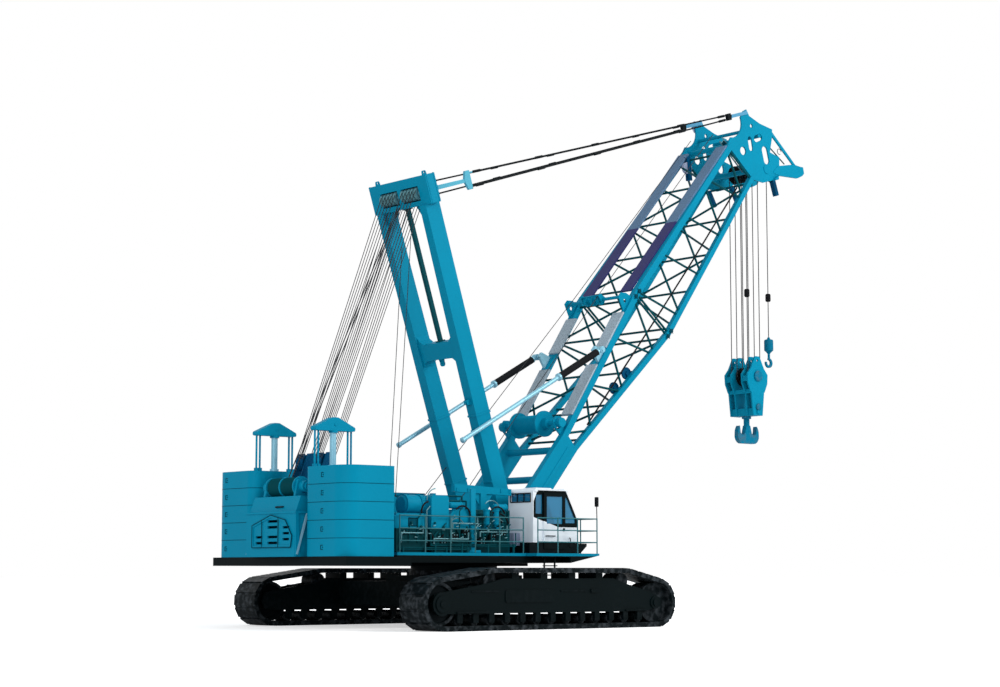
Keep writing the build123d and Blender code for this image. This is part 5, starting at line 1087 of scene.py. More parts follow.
@dataclass
class Studio:
    """Floor, lights and camera at the photograph's angle; places are given from the slewing axis."""

    shop: Workshop
    heading: float = math.radians(40.29)
    pitch: float = math.radians(6.41)
    eye: Point = (-40.03, -49.43, 1.64)
    focal_pixels: float = 2039.0
    image_width: float = 1000.0
    sensor_width: float = 36.0
    near: float = 1.0
    far: float = 2000.0
    sky_colour: Colour = (0.93, 0.97, 1.0)
    sky_strength: float = 0.55
    white: Colour = (1.0, 1.0, 1.0)
    floor_size: float = 900.0
    floor_grey: Colour = (0.93, 0.93, 0.93)
    shadow_reach: float = 11.0
    white_reach: float = 24.0
    floor_glow: float = 0.50
    aim: Point = (3.0, 0.0, 7.0)
    key_place: Point = (22.0, -42.0, 34.0)
    key_size: float = 22.0
    key_watts: float = 15000.0
    key_colour: Colour = (1.0, 0.99, 0.97)
    fill_place: Point = (-45.0, -20.0, 22.0)
    fill_size: float = 30.0
    fill_watts: float = 6500.0
    fill_colour: Colour = (0.96, 0.98, 1.0)

    def camera(self) -> None:
        """Sets the camera where the photograph was taken from."""
        data = bpy.data.cameras.new("camera")
        data.sensor_fit = "HORIZONTAL"
        data.sensor_width = self.sensor_width
        data.lens = self.sensor_width * self.focal_pixels / self.image_width
        data.clip_start, data.clip_end = self.near, self.far
        thing = bpy.data.objects.new("camera", data)
        bpy.context.scene.collection.objects.link(thing)
        thing.location = self.shop.datum.deck(*self.eye)
        thing.rotation_euler = (math.radians(90.0) + self.pitch, 0.0, -self.heading)
        bpy.context.scene.camera = thing

    def world(self) -> None:
        """Sets an even sky that the camera, reflections and glass see as plain white."""
        made = bpy.data.worlds.new("studio")
        bpy.context.scene.world = made
        made.use_nodes = True
        net, nodes = Net(made.node_tree), made.node_tree.nodes
        sky, shown = nodes["Background"], net.node("ShaderNodeBackground")
        for light, colour, strength in ((sky, self.sky_colour, self.sky_strength), (shown, self.white, 1.0)):
            light.inputs["Color"].default_value = (*colour, 1.0)
            light.inputs["Strength"].default_value = strength
        path = net.node("ShaderNodeLightPath").outputs
        seen = net.math("MAXIMUM", path["Is Camera Ray"], path["Is Glossy Ray"])
        seen = net.math("MAXIMUM", seen, path["Is Transmission Ray"])
        mix = net.node("ShaderNodeMixShader")
        for source, target in zip((seen, sky.outputs[0], shown.outputs[0]), mix.inputs):
            net.feed(source, target)
        net.feed(mix.outputs["Shader"], nodes["World Output"].inputs["Surface"])

    def floor(self) -> None:
        """Lays a pale floor that keeps the crane's soft shadow and turns white further out."""
        shape = Shape()
        bmesh.ops.create_grid(shape.mesh, x_segments=2, y_segments=2, size=self.floor_size / 2)
        thing = shape.done("floor", closed=False)
        made = bpy.data.materials.new("floor")
        made.use_nodes = True
        net, shader = Net(made.node_tree), made.node_tree.nodes["Principled BSDF"]
        shader.inputs["Base Color"].default_value = (*self.floor_grey, 1.0)
        shader.inputs["Roughness"].default_value = 1.0
        shader.inputs["Specular IOR Level"].default_value = 0.0
        shader.inputs["Emission Color"].default_value = (*self.white, 1.0)
        reach = net.node("ShaderNodeVectorMath")
        reach.operation = "LENGTH"
        net.feed(net.place, reach.inputs[0])
        glow = net.ranged(reach.outputs["Value"], self.shadow_reach, self.white_reach, self.floor_glow)
        seen = net.node("ShaderNodeLightPath").outputs["Is Camera Ray"]
        net.feed(net.math("MULTIPLY", seen, glow), shader.inputs["Emission Strength"])
        thing.data.materials.append(made)

    def lamp(self, name: str, place: Point, size: float, power: float, colour: Colour) -> None:
        """Hangs one large soft lamp that faces the crane.

        Args:
            name: the lamp's name.
            place: where it hangs.
            size: its width.
            power: its power in watts.
            colour: its colour.
        """
        data = bpy.data.lights.new(name, "AREA")
        data.size = size
        data.energy = power
        data.color = colour
        thing = bpy.data.objects.new(name, data)
        thing.location = self.shop.datum.deck(*place)
        facing = self.shop.datum.deck(*self.aim) - self.shop.datum.deck(*place)
        thing.rotation_euler = facing.to_track_quat("-Z", "Y").to_euler()
        bpy.context.scene.collection.objects.link(thing)

    def build(self) -> None:
        """Sets the whole studio."""
        self.camera()
        self.world()
        self.floor()
        self.lamp("key", self.key_place, self.key_size, self.key_watts, self.key_colour)
        self.lamp("fill", self.fill_place, self.fill_size, self.fill_watts, self.fill_colour)
        bpy.context.scene.view_settings.view_transform = "Standard"


NODE_LOOKS: dict[str, Look] = {
    "carbody": Look.BLACK,
    "slewing_bearing": Look.TRACK,
    "track_frame_right": Look.BLACK,
    "track_frame_left": Look.BLACK,
    "track_belt_right": Look.TRACK,
    "track_belt_left": Look.TRACK,
    "track_sprockets": Look.TRACK,
    "track_idlers": Look.TRACK,
    "track_rollers": Look.TRACK,
    "deck_frame": Look.DECK,
    "foot_pins": Look.STEEL,
    "engine_block": Look.ENGINE,
    "left_housing": Look.HOUSING_AND_SHADE,
    "right_housings": Look.HOUSING_AND_SHADE,
    "hydraulic_pipes": Look.BRACE,
    "lifting_rods": Look.CHROME,
    "mast_hoist_sheaves": Look.BLUE_DEEP,
    "handrails": Look.RAIL,
    "cab_steps": Look.BLACK,
    "cab_shell": Look.CAB,
    "cab_glass": Look.GLASS,
    "operator_seat": Look.SEAT,
    "cab_door": Look.CAB,
    "cab_door_glass": Look.GLASS,
    "boom_lacing": Look.BRACE,
    "boom_side_braces": Look.BRACE,
    "boom_guide_sheaves": Look.BLUE_DEEP,
    "boom_head_sheaves": Look.TRACK,
    "boom_walkways": Look.WALKWAY,
    "backstops": Look.CHROME,
    "backstop_sleeves": Look.RUBBER,
    "mast_stay": Look.BRACE,
    "mast_head_sheaves": Look.PIPE,
    "pendants": Look.LINK,
    "main_falls": Look.ROPE,
    "hook_block_sheaves": Look.TRACK,
    "main_hook": Look.HOOK,
    "aux_line": Look.ROPE,
    "ball_hook": Look.HOOK,
}


@dataclass
class HookLines:
    """Falls of the main block and the auxiliary line, as straight ropes."""

    shop: Workshop
    radius: float = 0.016
    inset: float = 0.015
    falls_a_side: int = 4
    hold: float = 0.01

    def falls(self) -> None:
        """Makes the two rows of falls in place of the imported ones."""
        low, high = (Vector(corner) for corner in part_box("main_falls"))
        xs = (low.x + self.inset, high.x - self.inset)
        spread = (high.y - low.y - 2 * self.inset) / (self.falls_a_side - 1)
        ys = [low.y + self.inset + spread * k for k in range(self.falls_a_side)]
        lines = [(Vector((x, y, high.z)), Vector((x, y, low.z))) for x in xs for y in ys]
        middle = sum(xs) / 2
        self.shop.rope("main_falls_rope", lines, self.radius, (Body.MAIN_LINES, Body.MAIN_BLOCK),
                       Vector((middle, 0, high.z - self.hold)), Vector((middle, 0, low.z + self.hold)),
                       ("main_falls",))

    def auxiliary(self) -> None:
        """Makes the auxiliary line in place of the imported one."""
        low, high = (Vector(corner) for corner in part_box("aux_line"))
        centre = (low + high) / 2
        top, foot = Vector((centre.x, centre.y, high.z)), Vector((centre.x, centre.y, low.z))
        self.shop.rope("aux_line_rope", [(top, foot)], self.radius, (Body.AUX_LINE, Body.BALL_HOOK),
                       top - UPWARD * self.hold, foot + UPWARD * self.hold, ("aux_line",))

    def build(self) -> None:
        """Makes both."""
        self.falls()
        self.auxiliary()


@dataclass
class MastRopes:
    """Ropes of the mast hoist, and the ropes from the deck to the mast head and the boom head."""

    shop: Workshop
    hoist_radius: float = 0.013
    head_s: float = 10.33
    head_t: float = 0.085
    head_sheave: float = 0.19
    bay_middle: float = 0.52
    bay_pitch: float = 0.172
    sheave_count: int = 5
    lower_x: float = -5.30
    lower_z: float = 4.87
    lower_sheave: float = 0.22
    lower_y: float = 0.48
    lower_pitch: float = 0.075
    drum_lead_radius: float = 0.02
    drum_lead_foot: Pair = (-6.05, 4.25)
    drum_lead_ys: tuple[Pair, ...] = ((0.35, 0.12), (0.15, 0.02))
    drum_lead_drop: float = 0.3
    drum_lead_rise: float = 0.30
    mast_lead_radius: float = 0.012
    mast_lead_feet: tuple[Point, ...] = ((-2.38, 0.3, 3.05), (-2.12, 0.3, 3.05))
    mast_lead_tops: tuple[Point, ...] = ((-1.86, 0.3, 11.69), (-1.51, 0.3, 12.14))
    main_drum: Point = (-1.0, 0.9, 3.46)
    lead_drum: Point = (-0.8, -0.3, 2.95)
    boom_rollers: tuple[Point, ...] = ((8.685, 0.9, 1.50), (8.685, -0.3, 1.50))
    boom_tops: tuple[Point, ...] = ((17.15, 0.9, 1.05), (17.1, -0.3, 1.15))
    lead_sheave: Point = (-0.93, -0.3, 2.82)
    lead_profile: tuple[Pair, ...] = ((-0.03, 0.05), (-0.03, 0.17), (0.0, 0.145), (0.03, 0.17), (0.03, 0.05))
    cheek_ys: Pair = (-0.37, -0.25)
    cheek_outline: tuple[Pair, ...] = ((-1.05, 2.24), (-0.81, 2.24), (-0.86, 2.90), (-1.0, 2.90))
    cheek_thickness: float = 0.02
    cheek_bevel: float = 0.003

    def _tangent(self, low: Vector, high: Vector, side: float) -> tuple[Vector, Vector]:
        """Ends of a rope part that lies on a lower and an upper sheave.

        Args:
            low: axis of the lower sheave.
            high: axis of the upper sheave.
            side: 1 for the rear part, -1 for the front part.

        Returns:
            The lower and the upper end.
        """
        along = (high - low).normalized()
        across = Vector((-along.z, 0.0, along.x)) * side
        return low + across * self.lower_sheave, high + across * self.head_sheave

    def bundles(self) -> None:
        """Makes both bundles between the lower sheaves and the mast head."""
        datum, lines = self.shop.datum, []
        for side in (-1, 1):
            for k in range(self.sheave_count):
                step = k - (self.sheave_count - 1) / 2
                low = datum.deck(self.lower_x, side * self.lower_y + step * self.lower_pitch, self.lower_z)
                high = datum.mast(self.head_s, side * self.bay_middle + step * self.bay_pitch, self.head_t)
                lines += [self._tangent(low, high, face) for face in (1, -1)]
        start = datum.deck(self.lower_x, 0, self.lower_z)
        end = datum.mast(self.head_s, 0, self.head_t)
        self.shop.rope("mast_hoist_ropes", lines, self.hoist_radius, (Body.TURNTABLE, Body.MAST), start, end)

    def leads(self) -> None:
        """Makes the ropes from the rear drum and from the deck to the mast head."""
        datum, climb = self.shop.datum, (Body.TURNTABLE, Body.MAST)
        x, z = self.drum_lead_foot
        feet = [datum.deck(x, foot, z) for foot, _ in self.drum_lead_ys]
        heads = [datum.mast(self.head_s - self.drum_lead_drop, head, self.drum_lead_rise)
                 for _, head in self.drum_lead_ys]
        self.shop.rope("drum_lead_ropes", zip(feet, heads), self.drum_lead_radius, climb, feet[0], heads[0])
        feet = [datum.deck(*place) for place in self.mast_lead_feet]
        tops = [datum.deck(*place) for place in self.mast_lead_tops]
        self.shop.rope("mast_lead_ropes", zip(feet, tops), self.mast_lead_radius, climb, feet[0], tops[0])

    def hoists(self) -> None:
        """Makes the hoist ropes from the deck over the boom's rollers to its head."""
        datum = self.shop.datum
        drums = [datum.deck(*place) for place in (self.main_drum, self.lead_drum)]
        rollers = [datum.boom(*place) for place in self.boom_rollers]
        tops = [datum.boom(*place) for place in self.boom_tops]
        self.shop.rope("hoist_ropes_lower", zip(drums, rollers), self.hoist_radius,
                       (Body.TURNTABLE, Body.BOOM), drums[0], rollers[0])
        self.shop.rope("hoist_ropes_upper", zip(rollers, tops), self.hoist_radius, (Body.BOOM, Body.BOOM),
                       rollers[0], tops[0])

    def sheave(self) -> None:
        """Makes the sheave on the deck that leads the second hoist rope up, between its cheeks."""
        deck = self.shop.datum.deck
        sheave = Shape().lathe(self.lead_profile, deck(*self.lead_sheave), LEFTWARD, 28)
        for y in self.cheek_ys:
            outline = [deck(x, y, z) for x, z in self.cheek_outline]
            sheave.plate(outline, LEFTWARD * self.cheek_thickness, self.cheek_bevel)
        self.shop.fit(sheave, "deck_lead_sheave", Look.BLUE_DEEP, Body.TURNTABLE)

    def build(self) -> None:
        """Makes all of it."""
        self.bundles()
        self.leads()
        self.hoists()
        self.sheave()


@dataclass
class StackTrim:
    """Seams and lifting eyes of the counterweights, and the fittings of the rear winch frame."""

    shop: Workshop
    foot: float = 2.0903
    rise: float = 0.511
    count: int = 5
    rear: float = -6.59
    front: float = -4.90
    inner: float = 1.30
    outer: float = 3.36
    inner_bend: float = 0.30
    outer_bend: float = 0.56
    bend_steps: int = 8
    proud: float = 0.004
    seam: float = 0.016
    eye_ys: Pair = (-2.23, 2.72)
    eye_bars: tuple[tuple[Pair, Pair], ...] = (
        ((-0.055, 0.05), (0.055, 0.07)), ((-0.055, -0.07), (0.055, -0.05)),
        ((0.035, -0.07), (0.055, 0.07)), ((-0.055, -0.02), (-0.03, 0.02)))
    eye_depth: Pair = (-0.012, 0.01)
    eye_bevel: float = 0.003
    drum: Point = (-6.25, 0.0, 4.11)
    drum_half: float = 0.64
    drum_core: float = 0.2
    rope_turns: int = 46
    rope_pitch: float = 0.0278
    rope_valley: float = 0.262
    rope_crest: float = 0.280
    strut_y: float = -1.27
    strut_foot: Pair = (-6.78, 2.16)
    strut_top: Pair = (-6.42, 3.33)
    strut_size: Pair = (0.05, 0.06)
    handle_x: float = -6.74
    handle_z: float = 3.52
    handle_ys: Pair = (-0.50, -0.12)
    handle_end: float = 0.02
    handle_reach: float = 0.08
    handle_rise: float = 0.02
    handle_radius: float = 0.022
    handle_foot: float = 0.018
    edge_x: float = -6.852
    edge_outline: tuple[Pair, ...] = ((0.92, 2.36), (0.92, 3.0), (-0.04, 3.29), (-0.78, 3.14), (-1.12, 2.69),
                                      (-1.06, 2.36))
    edge_bars: tuple[Pair, ...] = ((0.42, 3.14), (-0.42, 3.20))
    edge_foot: float = 2.37
    edge_size: Pair = (0.025, 0.02)
    edge_bar_size: Pair = (0.018, 0.016)

    def outline(self, z: float) -> list[Vector]:
        """Outline of a block, a little outside its face.

        Args:
            z: height of the outline.

        Returns:
            The corners in order.
        """
        deck = self.shop.datum.deck
        points = [deck(self.front, self.inner - self.proud, z)]
        for radius, y, first in ((self.inner_bend, self.inner + self.inner_bend, 270.0),
                                 (self.outer_bend, self.outer - self.outer_bend, 180.0)):
            reach = radius + self.proud
            for k in range(self.bend_steps + 1):
                turn = math.radians(first - 90.0 * k / self.bend_steps)
                x = self.rear + radius + reach * math.cos(turn)
                points.append(deck(x, y + reach * math.sin(turn), z))
        return [*points, deck(self.front, self.outer + self.proud, z)]

    def seams(self) -> None:
        """Makes the dark seams between the blocks of both stacks."""
        shape = Shape()
        for k in range(1, self.count):
            shape.plate(self.outline(self.foot + k * self.rise - self.seam / 2), UPWARD * self.seam)
        self.shop.fit(shape.mirrored(), "block_seams", Look.SEAM, Body.TURNTABLE)

    def eyes(self) -> None:
        """Makes the lifting eyes in the rear faces."""
        deck, shape = self.shop.datum.deck, Shape()
        low, high = self.rear + self.eye_depth[0], self.rear + self.eye_depth[1]
        for y in self.eye_ys:
            for k in range(self.count):
                z = self.foot + (k + 0.5) * self.rise
                for (y0, z0), (y1, z1) in self.eye_bars:
                    shape.box(deck(low, y + y0, z + z0), deck(high, y + y1, z + z1), self.eye_bevel)
        self.shop.fit(shape, "block_marks", Look.SEAM, Body.TURNTABLE)

    def drum_rope(self) -> None:
        """Makes the turns of rope on the rear drum: real ridges, coloured a darker teal as painted shade for
        the grooves between them.
        """
        profile = [(-self.drum_half, self.drum_core)]
        for k in range(self.rope_turns):
            profile += [(-self.drum_half + k * self.rope_pitch, self.rope_valley),
                        (-self.drum_half + (k + 0.5) * self.rope_pitch, self.rope_crest)]
        profile.append((self.drum_half, self.drum_core))
        rope = Shape().lathe(profile, self.shop.datum.deck(*self.drum), LEFTWARD, 28)
        # the darker teal is painted shade for the grooves between the turns
        self.shop.fit(rope, "rear_drum_rope", Look.BRACE, Body.TURNTABLE, 30.0)

    def frame(self) -> None:
        """Makes the rear frame's struts, its handle and the dark edge of its grille."""
        deck = self.shop.datum.deck
        (x0, z0), (x1, z1) = self.strut_foot, self.strut_top
        struts = Shape().beam(deck(x0, self.strut_y, z0), deck(x1, self.strut_y, z1), *self.strut_size)
        self.shop.fit(struts.mirrored(), "rear_struts", Look.CHROME, Body.TURNTABLE)
        x, z, (low, high) = self.handle_x, self.handle_z, self.handle_ys
        handle = Shape().tube(deck(x, low, z), deck(x, high, z), self.handle_radius)
        for y in (low + self.handle_end, high - self.handle_end):
            foot = deck(x + self.handle_reach, y, z + self.handle_rise)
            handle.tube(deck(x, y, z), foot, self.handle_foot, 8)
        self.shop.fit(handle, "rear_handle", Look.RUBBER, Body.TURNTABLE)
        edge = Shape().loop([deck(self.edge_x, y, z) for y, z in self.edge_outline], *self.edge_size)
        for y, top in self.edge_bars:
            edge.beam(deck(self.edge_x, y, self.edge_foot), deck(self.edge_x, y, top), *self.edge_bar_size)
        self.shop.fit(edge, "grille_edge", Look.SEAM, Body.TURNTABLE)

    def build(self) -> None:
        """Makes all of it."""
        self.seams()
        self.eyes()
        self.drum_rope()
        self.frame()


@dataclass
class DeckMachinery:
    """Pipes, hoses, filters and valves along the right deck; their heights vary as in a hand-laid bundle."""

    shop: Workshop
    face: float = -2.655
    upright_count: int = 14
    upright_start: float = -4.10
    upright_pitch: float = 0.31
    upright_foot: float = 2.50
    upright_top: float = 2.72
    upright_step: float = 0.24
    upright_bend: float = 0.12
    stagger: float = 0.014
    upright_radius: float = 0.018
    face_runs: tuple[Point, ...] = (
        (-2.9, -1.6, 2.62), (-2.2, -1.25, 3.08), (-1.15, -0.1, 2.84), (-4.1, -3.3, 2.78))
    face_run_drop: float = 0.15
    face_run_rise: float = 0.2
    face_run_radius: float = 0.022
    deep_runs: tuple[tuple[float, float, float, float], ...] = (
        (-2.1, -1.4, -2.3, 3.75), (-2.1, -1.4, -2.1, 3.9), (-1.1, 0.1, -2.2, 3.4), (-1.1, 0.1, -2.35, 3.15))
    deep_run_drop: float = 0.5
    deep_run_radius: float = 0.025
    union_count: int = 24
    union_start: float = -4.12
    union_pitch: float = 0.172
    union_foot: float = 2.55
    union_step: float = 0.11
    union_y: float = -2.635
    union_offset: Pair = (0.06, 0.09)
    stub_length: float = 0.10
    stub_rise: float = 0.02
    stub_radius: float = 0.013
    union: tuple[Pair, ...] = ((0.0, 0.0), (0.0, 0.035), (0.03, 0.035), (0.04, 0.02), (0.04, 0.0))
    hose_radius: float = 0.026
    line_radius: float = 0.016
    bend_steps: int = 14
    black_bends: tuple[Bend, ...] = (
        Bend((-0.55, -2.50, 3.05), 0.38, 10.0, 150.0), Bend((-0.30, -2.45, 2.95), 0.46, 20.0, 130.0),
        Bend((-2.75, -2.63, 2.80), 0.22, 190.0, 160.0), Bend((-1.75, -2.56, 3.30), 0.30, 0.0, 140.0),
        Bend((-3.05, -2.64, 3.40), 0.30, 100.0, 90.0), Bend((-0.30, -2.45, 3.30), 0.30, 20.0, 120.0))
    pale_bends: tuple[Bend, ...] = (
        Bend((-2.70, -2.50, 3.75), 0.34, 95.0, 85.0), Bend((-0.50, -2.40, 3.45), 0.34, 25.0, 110.0),
        Bend((-0.35, -2.52, 2.80), 0.42, 60.0, 100.0), Bend((-2.0, -2.60, 2.95), 0.28, 30.0, 110.0))
    can: tuple[Pair, ...] = (
        (-0.24, 0.0), (-0.24, 0.07), (-0.20, 0.10), (0.18, 0.10), (0.20, 0.115), (0.24, 0.115), (0.24, 0.0))
    lying_cans: tuple[Point, ...] = ((-1.85, -2.30, 3.62), (-0.02, -2.20, 3.60))
    standing_cans: tuple[Point, ...] = ((-0.75, -2.48, 3.28), (-0.40, -2.48, 3.28))
    tank_end: Point = (-3.72, -2.12, 3.62)
    tank: tuple[Pair, ...] = (
        (0.0, 0.0), (0.0, 0.22), (0.05, 0.27), (0.05, 0.31), (0.09, 0.31), (0.09, 0.28),
        (0.58, 0.28), (0.58, 0.31), (0.62, 0.31), (0.62, 0.28),
        (1.06, 0.28), (1.06, 0.31), (1.10, 0.31), (1.10, 0.27), (1.15, 0.20), (1.15, 0.0))
    post: Block = Block((-1.45, -2.60, 2.225), (-1.27, -2.52, 4.12), 0.012)
    post_foot: Block = Block((-1.52, -2.61, 2.225), (-1.08, -2.51, 2.30), 0.008)
    vent: Block = Block((-4.30, -2.605, 2.91), (-3.28, -2.50, 3.26), 0.015)
    vent_lid: Block = Block((-4.34, -2.62, 3.26), (-3.24, -2.48, 3.29), 0.006)
    # the dark wall is a backing of painted shade behind the pipes
    wall: Block = Block((-1.20, -2.06, 2.225), (0.52, -2.02, 3.52), 0.01)
    rib_count: int = 5
    rib_start: float = -1.10
    rib_pitch: float = 0.38
    rib_y: float = -2.08
    rib_z: Pair = (2.225, 3.48)
    rib_size: Pair = (0.06, 0.04)
    grille_x: Pair = (-3.80, -3.46)
    grille_z: Pair = (2.98, 3.21)
    grille_y: float = -2.606
    grille_edge: Pair = (0.012, 0.03)
    slat_size: Pair = (0.012, 0.022)
    slat_count: int = 7
    slat_start: float = 3.005
    slat_pitch: float = 0.03
    valve_xs: tuple[float, ...] = (-2.52, -2.06, -1.66, -1.02, -0.62, -0.22)
    valve_z: float = 2.56
    valve_step: float = 0.13
    valve_y: Pair = (-2.62, -2.50)
    valve_half: Pair = (0.13, 0.08)
    valve_bevel: float = 0.012
    bolt_ring: float = 0.07
    bolt_size: float = 0.022

    def pipes(self) -> None:
        """Makes the upright pipes, the level runs between them and the small unions."""
        deck, pale, dark = self.shop.datum.deck, Shape(), Shape()
        for k in range(self.upright_count):
            x, y = self.upright_start + self.upright_pitch * k, self.face + self.stagger * (k % 3)
            top, bend = self.upright_top + self.upright_step * (k * 5 % 4), self.upright_bend
            route = [deck(x, y, self.upright_foot), deck(x, y, top), deck(x + bend, y, top + bend)]
            (dark if k % 3 else pale).run(route, self.upright_radius)
        for x0, x1, z in self.face_runs:
            low, high = z - self.face_run_drop, z + self.face_run_rise
            bends = ((x0, low), (x0, z), (x1, z), (x1, high))
            pale.run([deck(x, self.face, height) for x, height in bends], self.face_run_radius)
        for x0, x1, y, z in self.deep_runs:
            low = z - self.deep_run_drop
            bends = ((x0, low), (x0, z), (x1, z), (x1, low))
            dark.run([deck(x, y, height) for x, height in bends], self.deep_run_radius)
        for k in range(self.union_count):
            x, z = self.union_start + self.union_pitch * k, self.union_foot + self.union_step * (k * 7 % 5)
            end = deck(x + self.stub_length, self.union_y, z + self.stub_rise * (k % 3))
            pale.tube(deck(x, self.union_y, z), end, self.stub_radius, 8)
            centre = deck(x + self.union_offset[0], self.union_y, z + self.union_offset[1])
            dark.lathe(self.union, centre, RIGHTWARD, 12)
        self.shop.fit(pale, "deck_pipes_pale", Look.PIPE, Body.TURNTABLE)
        self.shop.fit(dark, "deck_pipes_dark", Look.BRACE, Body.TURNTABLE)

    def hoses(self) -> None:
        """Makes the bent hoses and lines."""
        for name, look, radius, bends in (("deck_hoses", Look.HOSE, self.hose_radius, self.black_bends),
                                          ("deck_lines_pale", Look.PIPE, self.line_radius, self.pale_bends)):
            shape = Shape()
            for bend in bends:
                shape.arc(self.shop.datum.deck(*bend.centre), bend.radius, radius, bend.start, bend.sweep,
                          self.bend_steps)
            self.shop.fit(shape, name, look, Body.TURNTABLE)

    def filters(self) -> None:
        """Makes the filters and the lying tank."""
        deck, shape = self.shop.datum.deck, Shape()
        for places, axis in ((self.lying_cans, AHEAD), (self.standing_cans, UPWARD)):
            for place in places:
                shape.lathe(self.can, deck(*place), axis, 24)
        shape.lathe(self.tank, deck(*self.tank_end), AHEAD, 36)
        self.shop.fit(shape, "deck_filters", Look.BLUE, Body.TURNTABLE)

    def housings(self) -> None:
        """Makes the upright post, the vent box and the ribbed wall behind the pipes, a dark backing of
        painted shade.
        """
        deck, post, vent, wall = self.shop.datum.deck, Shape(), Shape(), Shape()
        for shape, block in ((post, self.post), (post, self.post_foot), (vent, self.vent),
                             (vent, self.vent_lid), (wall, self.wall)):
            self.shop.block(shape, block)
        for k in range(self.rib_count):
            x = self.rib_start + self.rib_pitch * k
            foot, top = (deck(x, self.rib_y, z) for z in self.rib_z)
            wall.beam(foot, top, *self.rib_size)
        self.shop.fit(post, "deck_post", Look.BLUE, Body.TURNTABLE)
        self.shop.fit(vent, "vent_box", Look.BLUE, Body.TURNTABLE)
        # the dark ribbed wall is painted shade behind the pipes
        self.shop.fit(wall, "machinery_wall", Look.BRACE, Body.TURNTABLE)

    def grille(self) -> None:
        """Makes the dark grille of the vent box."""
        deck, (x0, x1), (z0, z1) = self.shop.datum.deck, self.grille_x, self.grille_z
        corners = ((x0, z0), (x1, z0), (x1, z1), (x0, z1))
        grille = Shape().loop([deck(x, self.grille_y, z) for x, z in corners], *self.grille_edge)
        for k in range(self.slat_count):
            z = self.slat_start + self.slat_pitch * k
            grille.beam(deck(x0, self.grille_y, z), deck(x1, self.grille_y, z), *self.slat_size)
        self.shop.fit(grille, "vent_grille", Look.SEAM, Body.TURNTABLE)

    def valves(self) -> None:
        """Makes the valve blocks and their bolts."""
        deck, valves, knobs = self.shop.datum.deck, Shape(), Shape()
        (front, rear), (wide, high) = self.valve_y, self.valve_half
        for k, x in enumerate(self.valve_xs):
            z = self.valve_z + self.valve_step * (k % 3)
            valves.box(deck(x - wide, front, z - high), deck(x + wide, rear, z + high), self.valve_bevel)
            knobs.bolts(deck(x, front, z), RIGHTWARD, self.bolt_ring, 4, self.bolt_size)
        self.shop.fit(valves, "valve_blocks", Look.BLACK, Body.TURNTABLE)
        self.shop.fit(knobs, "valve_bolts", Look.PIPE, Body.TURNTABLE)

    def build(self) -> None:
        """Makes all of it."""
        self.pipes()
        self.hoses()
        self.filters()
        self.housings()
        self.grille()
        self.valves()


@dataclass
class CabTrim:
    """Rear window frame, service box, handles, mirror and black skirt of the cab."""

    shop: Workshop
    window_x: float = 0.853
    window_y: Pair = (-2.64, -1.71)
    window_z: Pair = (3.78, 4.04)
    window_bars: Pair = (-2.33, -2.02)
    window_edge: Pair = (0.02, 0.035)
    window_bar: Pair = (0.03, 0.02)
    grip_radius: float = 0.014
    wiper_radius: float = 0.010
    service: Block = Block((0.60, -2.15, 2.45), (0.857, -1.50, 2.84), 0.02)
    side_grip: tuple[Point, ...] = ((2.33, -2.755, 2.70), (2.33, -2.81, 2.68), (2.33, -2.81, 2.42),
                                    (2.33, -2.755, 2.40))
    wiper: tuple[Point, ...] = ((2.69, -2.45, 3.22), (2.70, -2.30, 3.24), (2.62, -2.10, 3.42))
    door_grip: tuple[Point, ...] = ((1.32, -2.807, 2.75), (1.32, -2.84, 2.75), (1.68, -2.84, 2.75),
                                    (1.68, -2.807, 2.75))
    latch: Block = Block((2.02, -2.825, 2.90), (2.10, -2.803, 2.99), 0.006)
    mirror: Block = Block((3.07, -3.20, 3.66), (3.17, -3.10, 3.96), 0.02)
    mirror_foot: Point = (3.13, -3.15, 3.28)
    mirror_neck: Point = (3.12, -3.15, 3.68)
    skirt_y: float = -2.77
    skirt: tuple[Pair, ...] = (
        (0.70, 2.17), (2.50, 2.17), (2.80, 2.24), (3.05, 2.45), (3.05, 2.53), (0.70, 2.53))
    skirt_thickness: float = 0.018
    skirt_bevel: float = 0.003

    def rear(self) -> None:
        """Makes the frame of the rear windows and the box below them."""
        deck, (y0, y1), (z0, z1) = self.shop.datum.deck, self.window_y, self.window_z
        corners = ((y0, z0), (y1, z0), (y1, z1), (y0, z1))
        frame = Shape().loop([deck(self.window_x, y, z) for y, z in corners], *self.window_edge)
        for y in self.window_bars:
            frame.beam(deck(self.window_x, y, z0), deck(self.window_x, y, z1), *self.window_bar)
        self.shop.fit(frame, "rear_window_frame", Look.RUBBER, Body.TURNTABLE)
        box = Shape()
        self.shop.block(box, self.service)
        self.shop.fit(box, "service_box", Look.BOX_GREY, Body.TURNTABLE)

    def handles(self) -> None:
        """Makes the grips, the wiper and the door's latch."""
        deck = self.shop.datum.deck
        grips = Shape().run([deck(*place) for place in self.side_grip], self.grip_radius)
        grips.run([deck(*place) for place in self.wiper], self.wiper_radius)
        self.shop.fit(grips, "cab_handles", Look.RUBBER, Body.TURNTABLE)
        door = Shape().run([deck(*place) for place in self.door_grip], self.grip_radius)
        self.shop.block(door, self.latch)
        self.shop.fit(door, "door_handles", Look.RUBBER, Body.DOOR)

    def front(self) -> None:
        """Makes the mirror on the front rail and the black skirt."""
        deck, mirror = self.shop.datum.deck, Shape()
        self.shop.block(mirror, self.mirror)
        mirror.tube(deck(*self.mirror_foot), deck(*self.mirror_neck), self.grip_radius, 8)
        self.shop.fit(mirror, "front_mirror", Look.RUBBER, Body.TURNTABLE)
        outline = [deck(x, self.skirt_y, z) for x, z in self.skirt]
        skirt = Shape().plate(outline, LEFTWARD * self.skirt_thickness, self.skirt_bevel)
        self.shop.fit(skirt, "cab_base_skirt", Look.BLACK, Body.TURNTABLE)

    def build(self) -> None:
        """Makes all of it."""
        self.rear()
        self.handles()
        self.front()


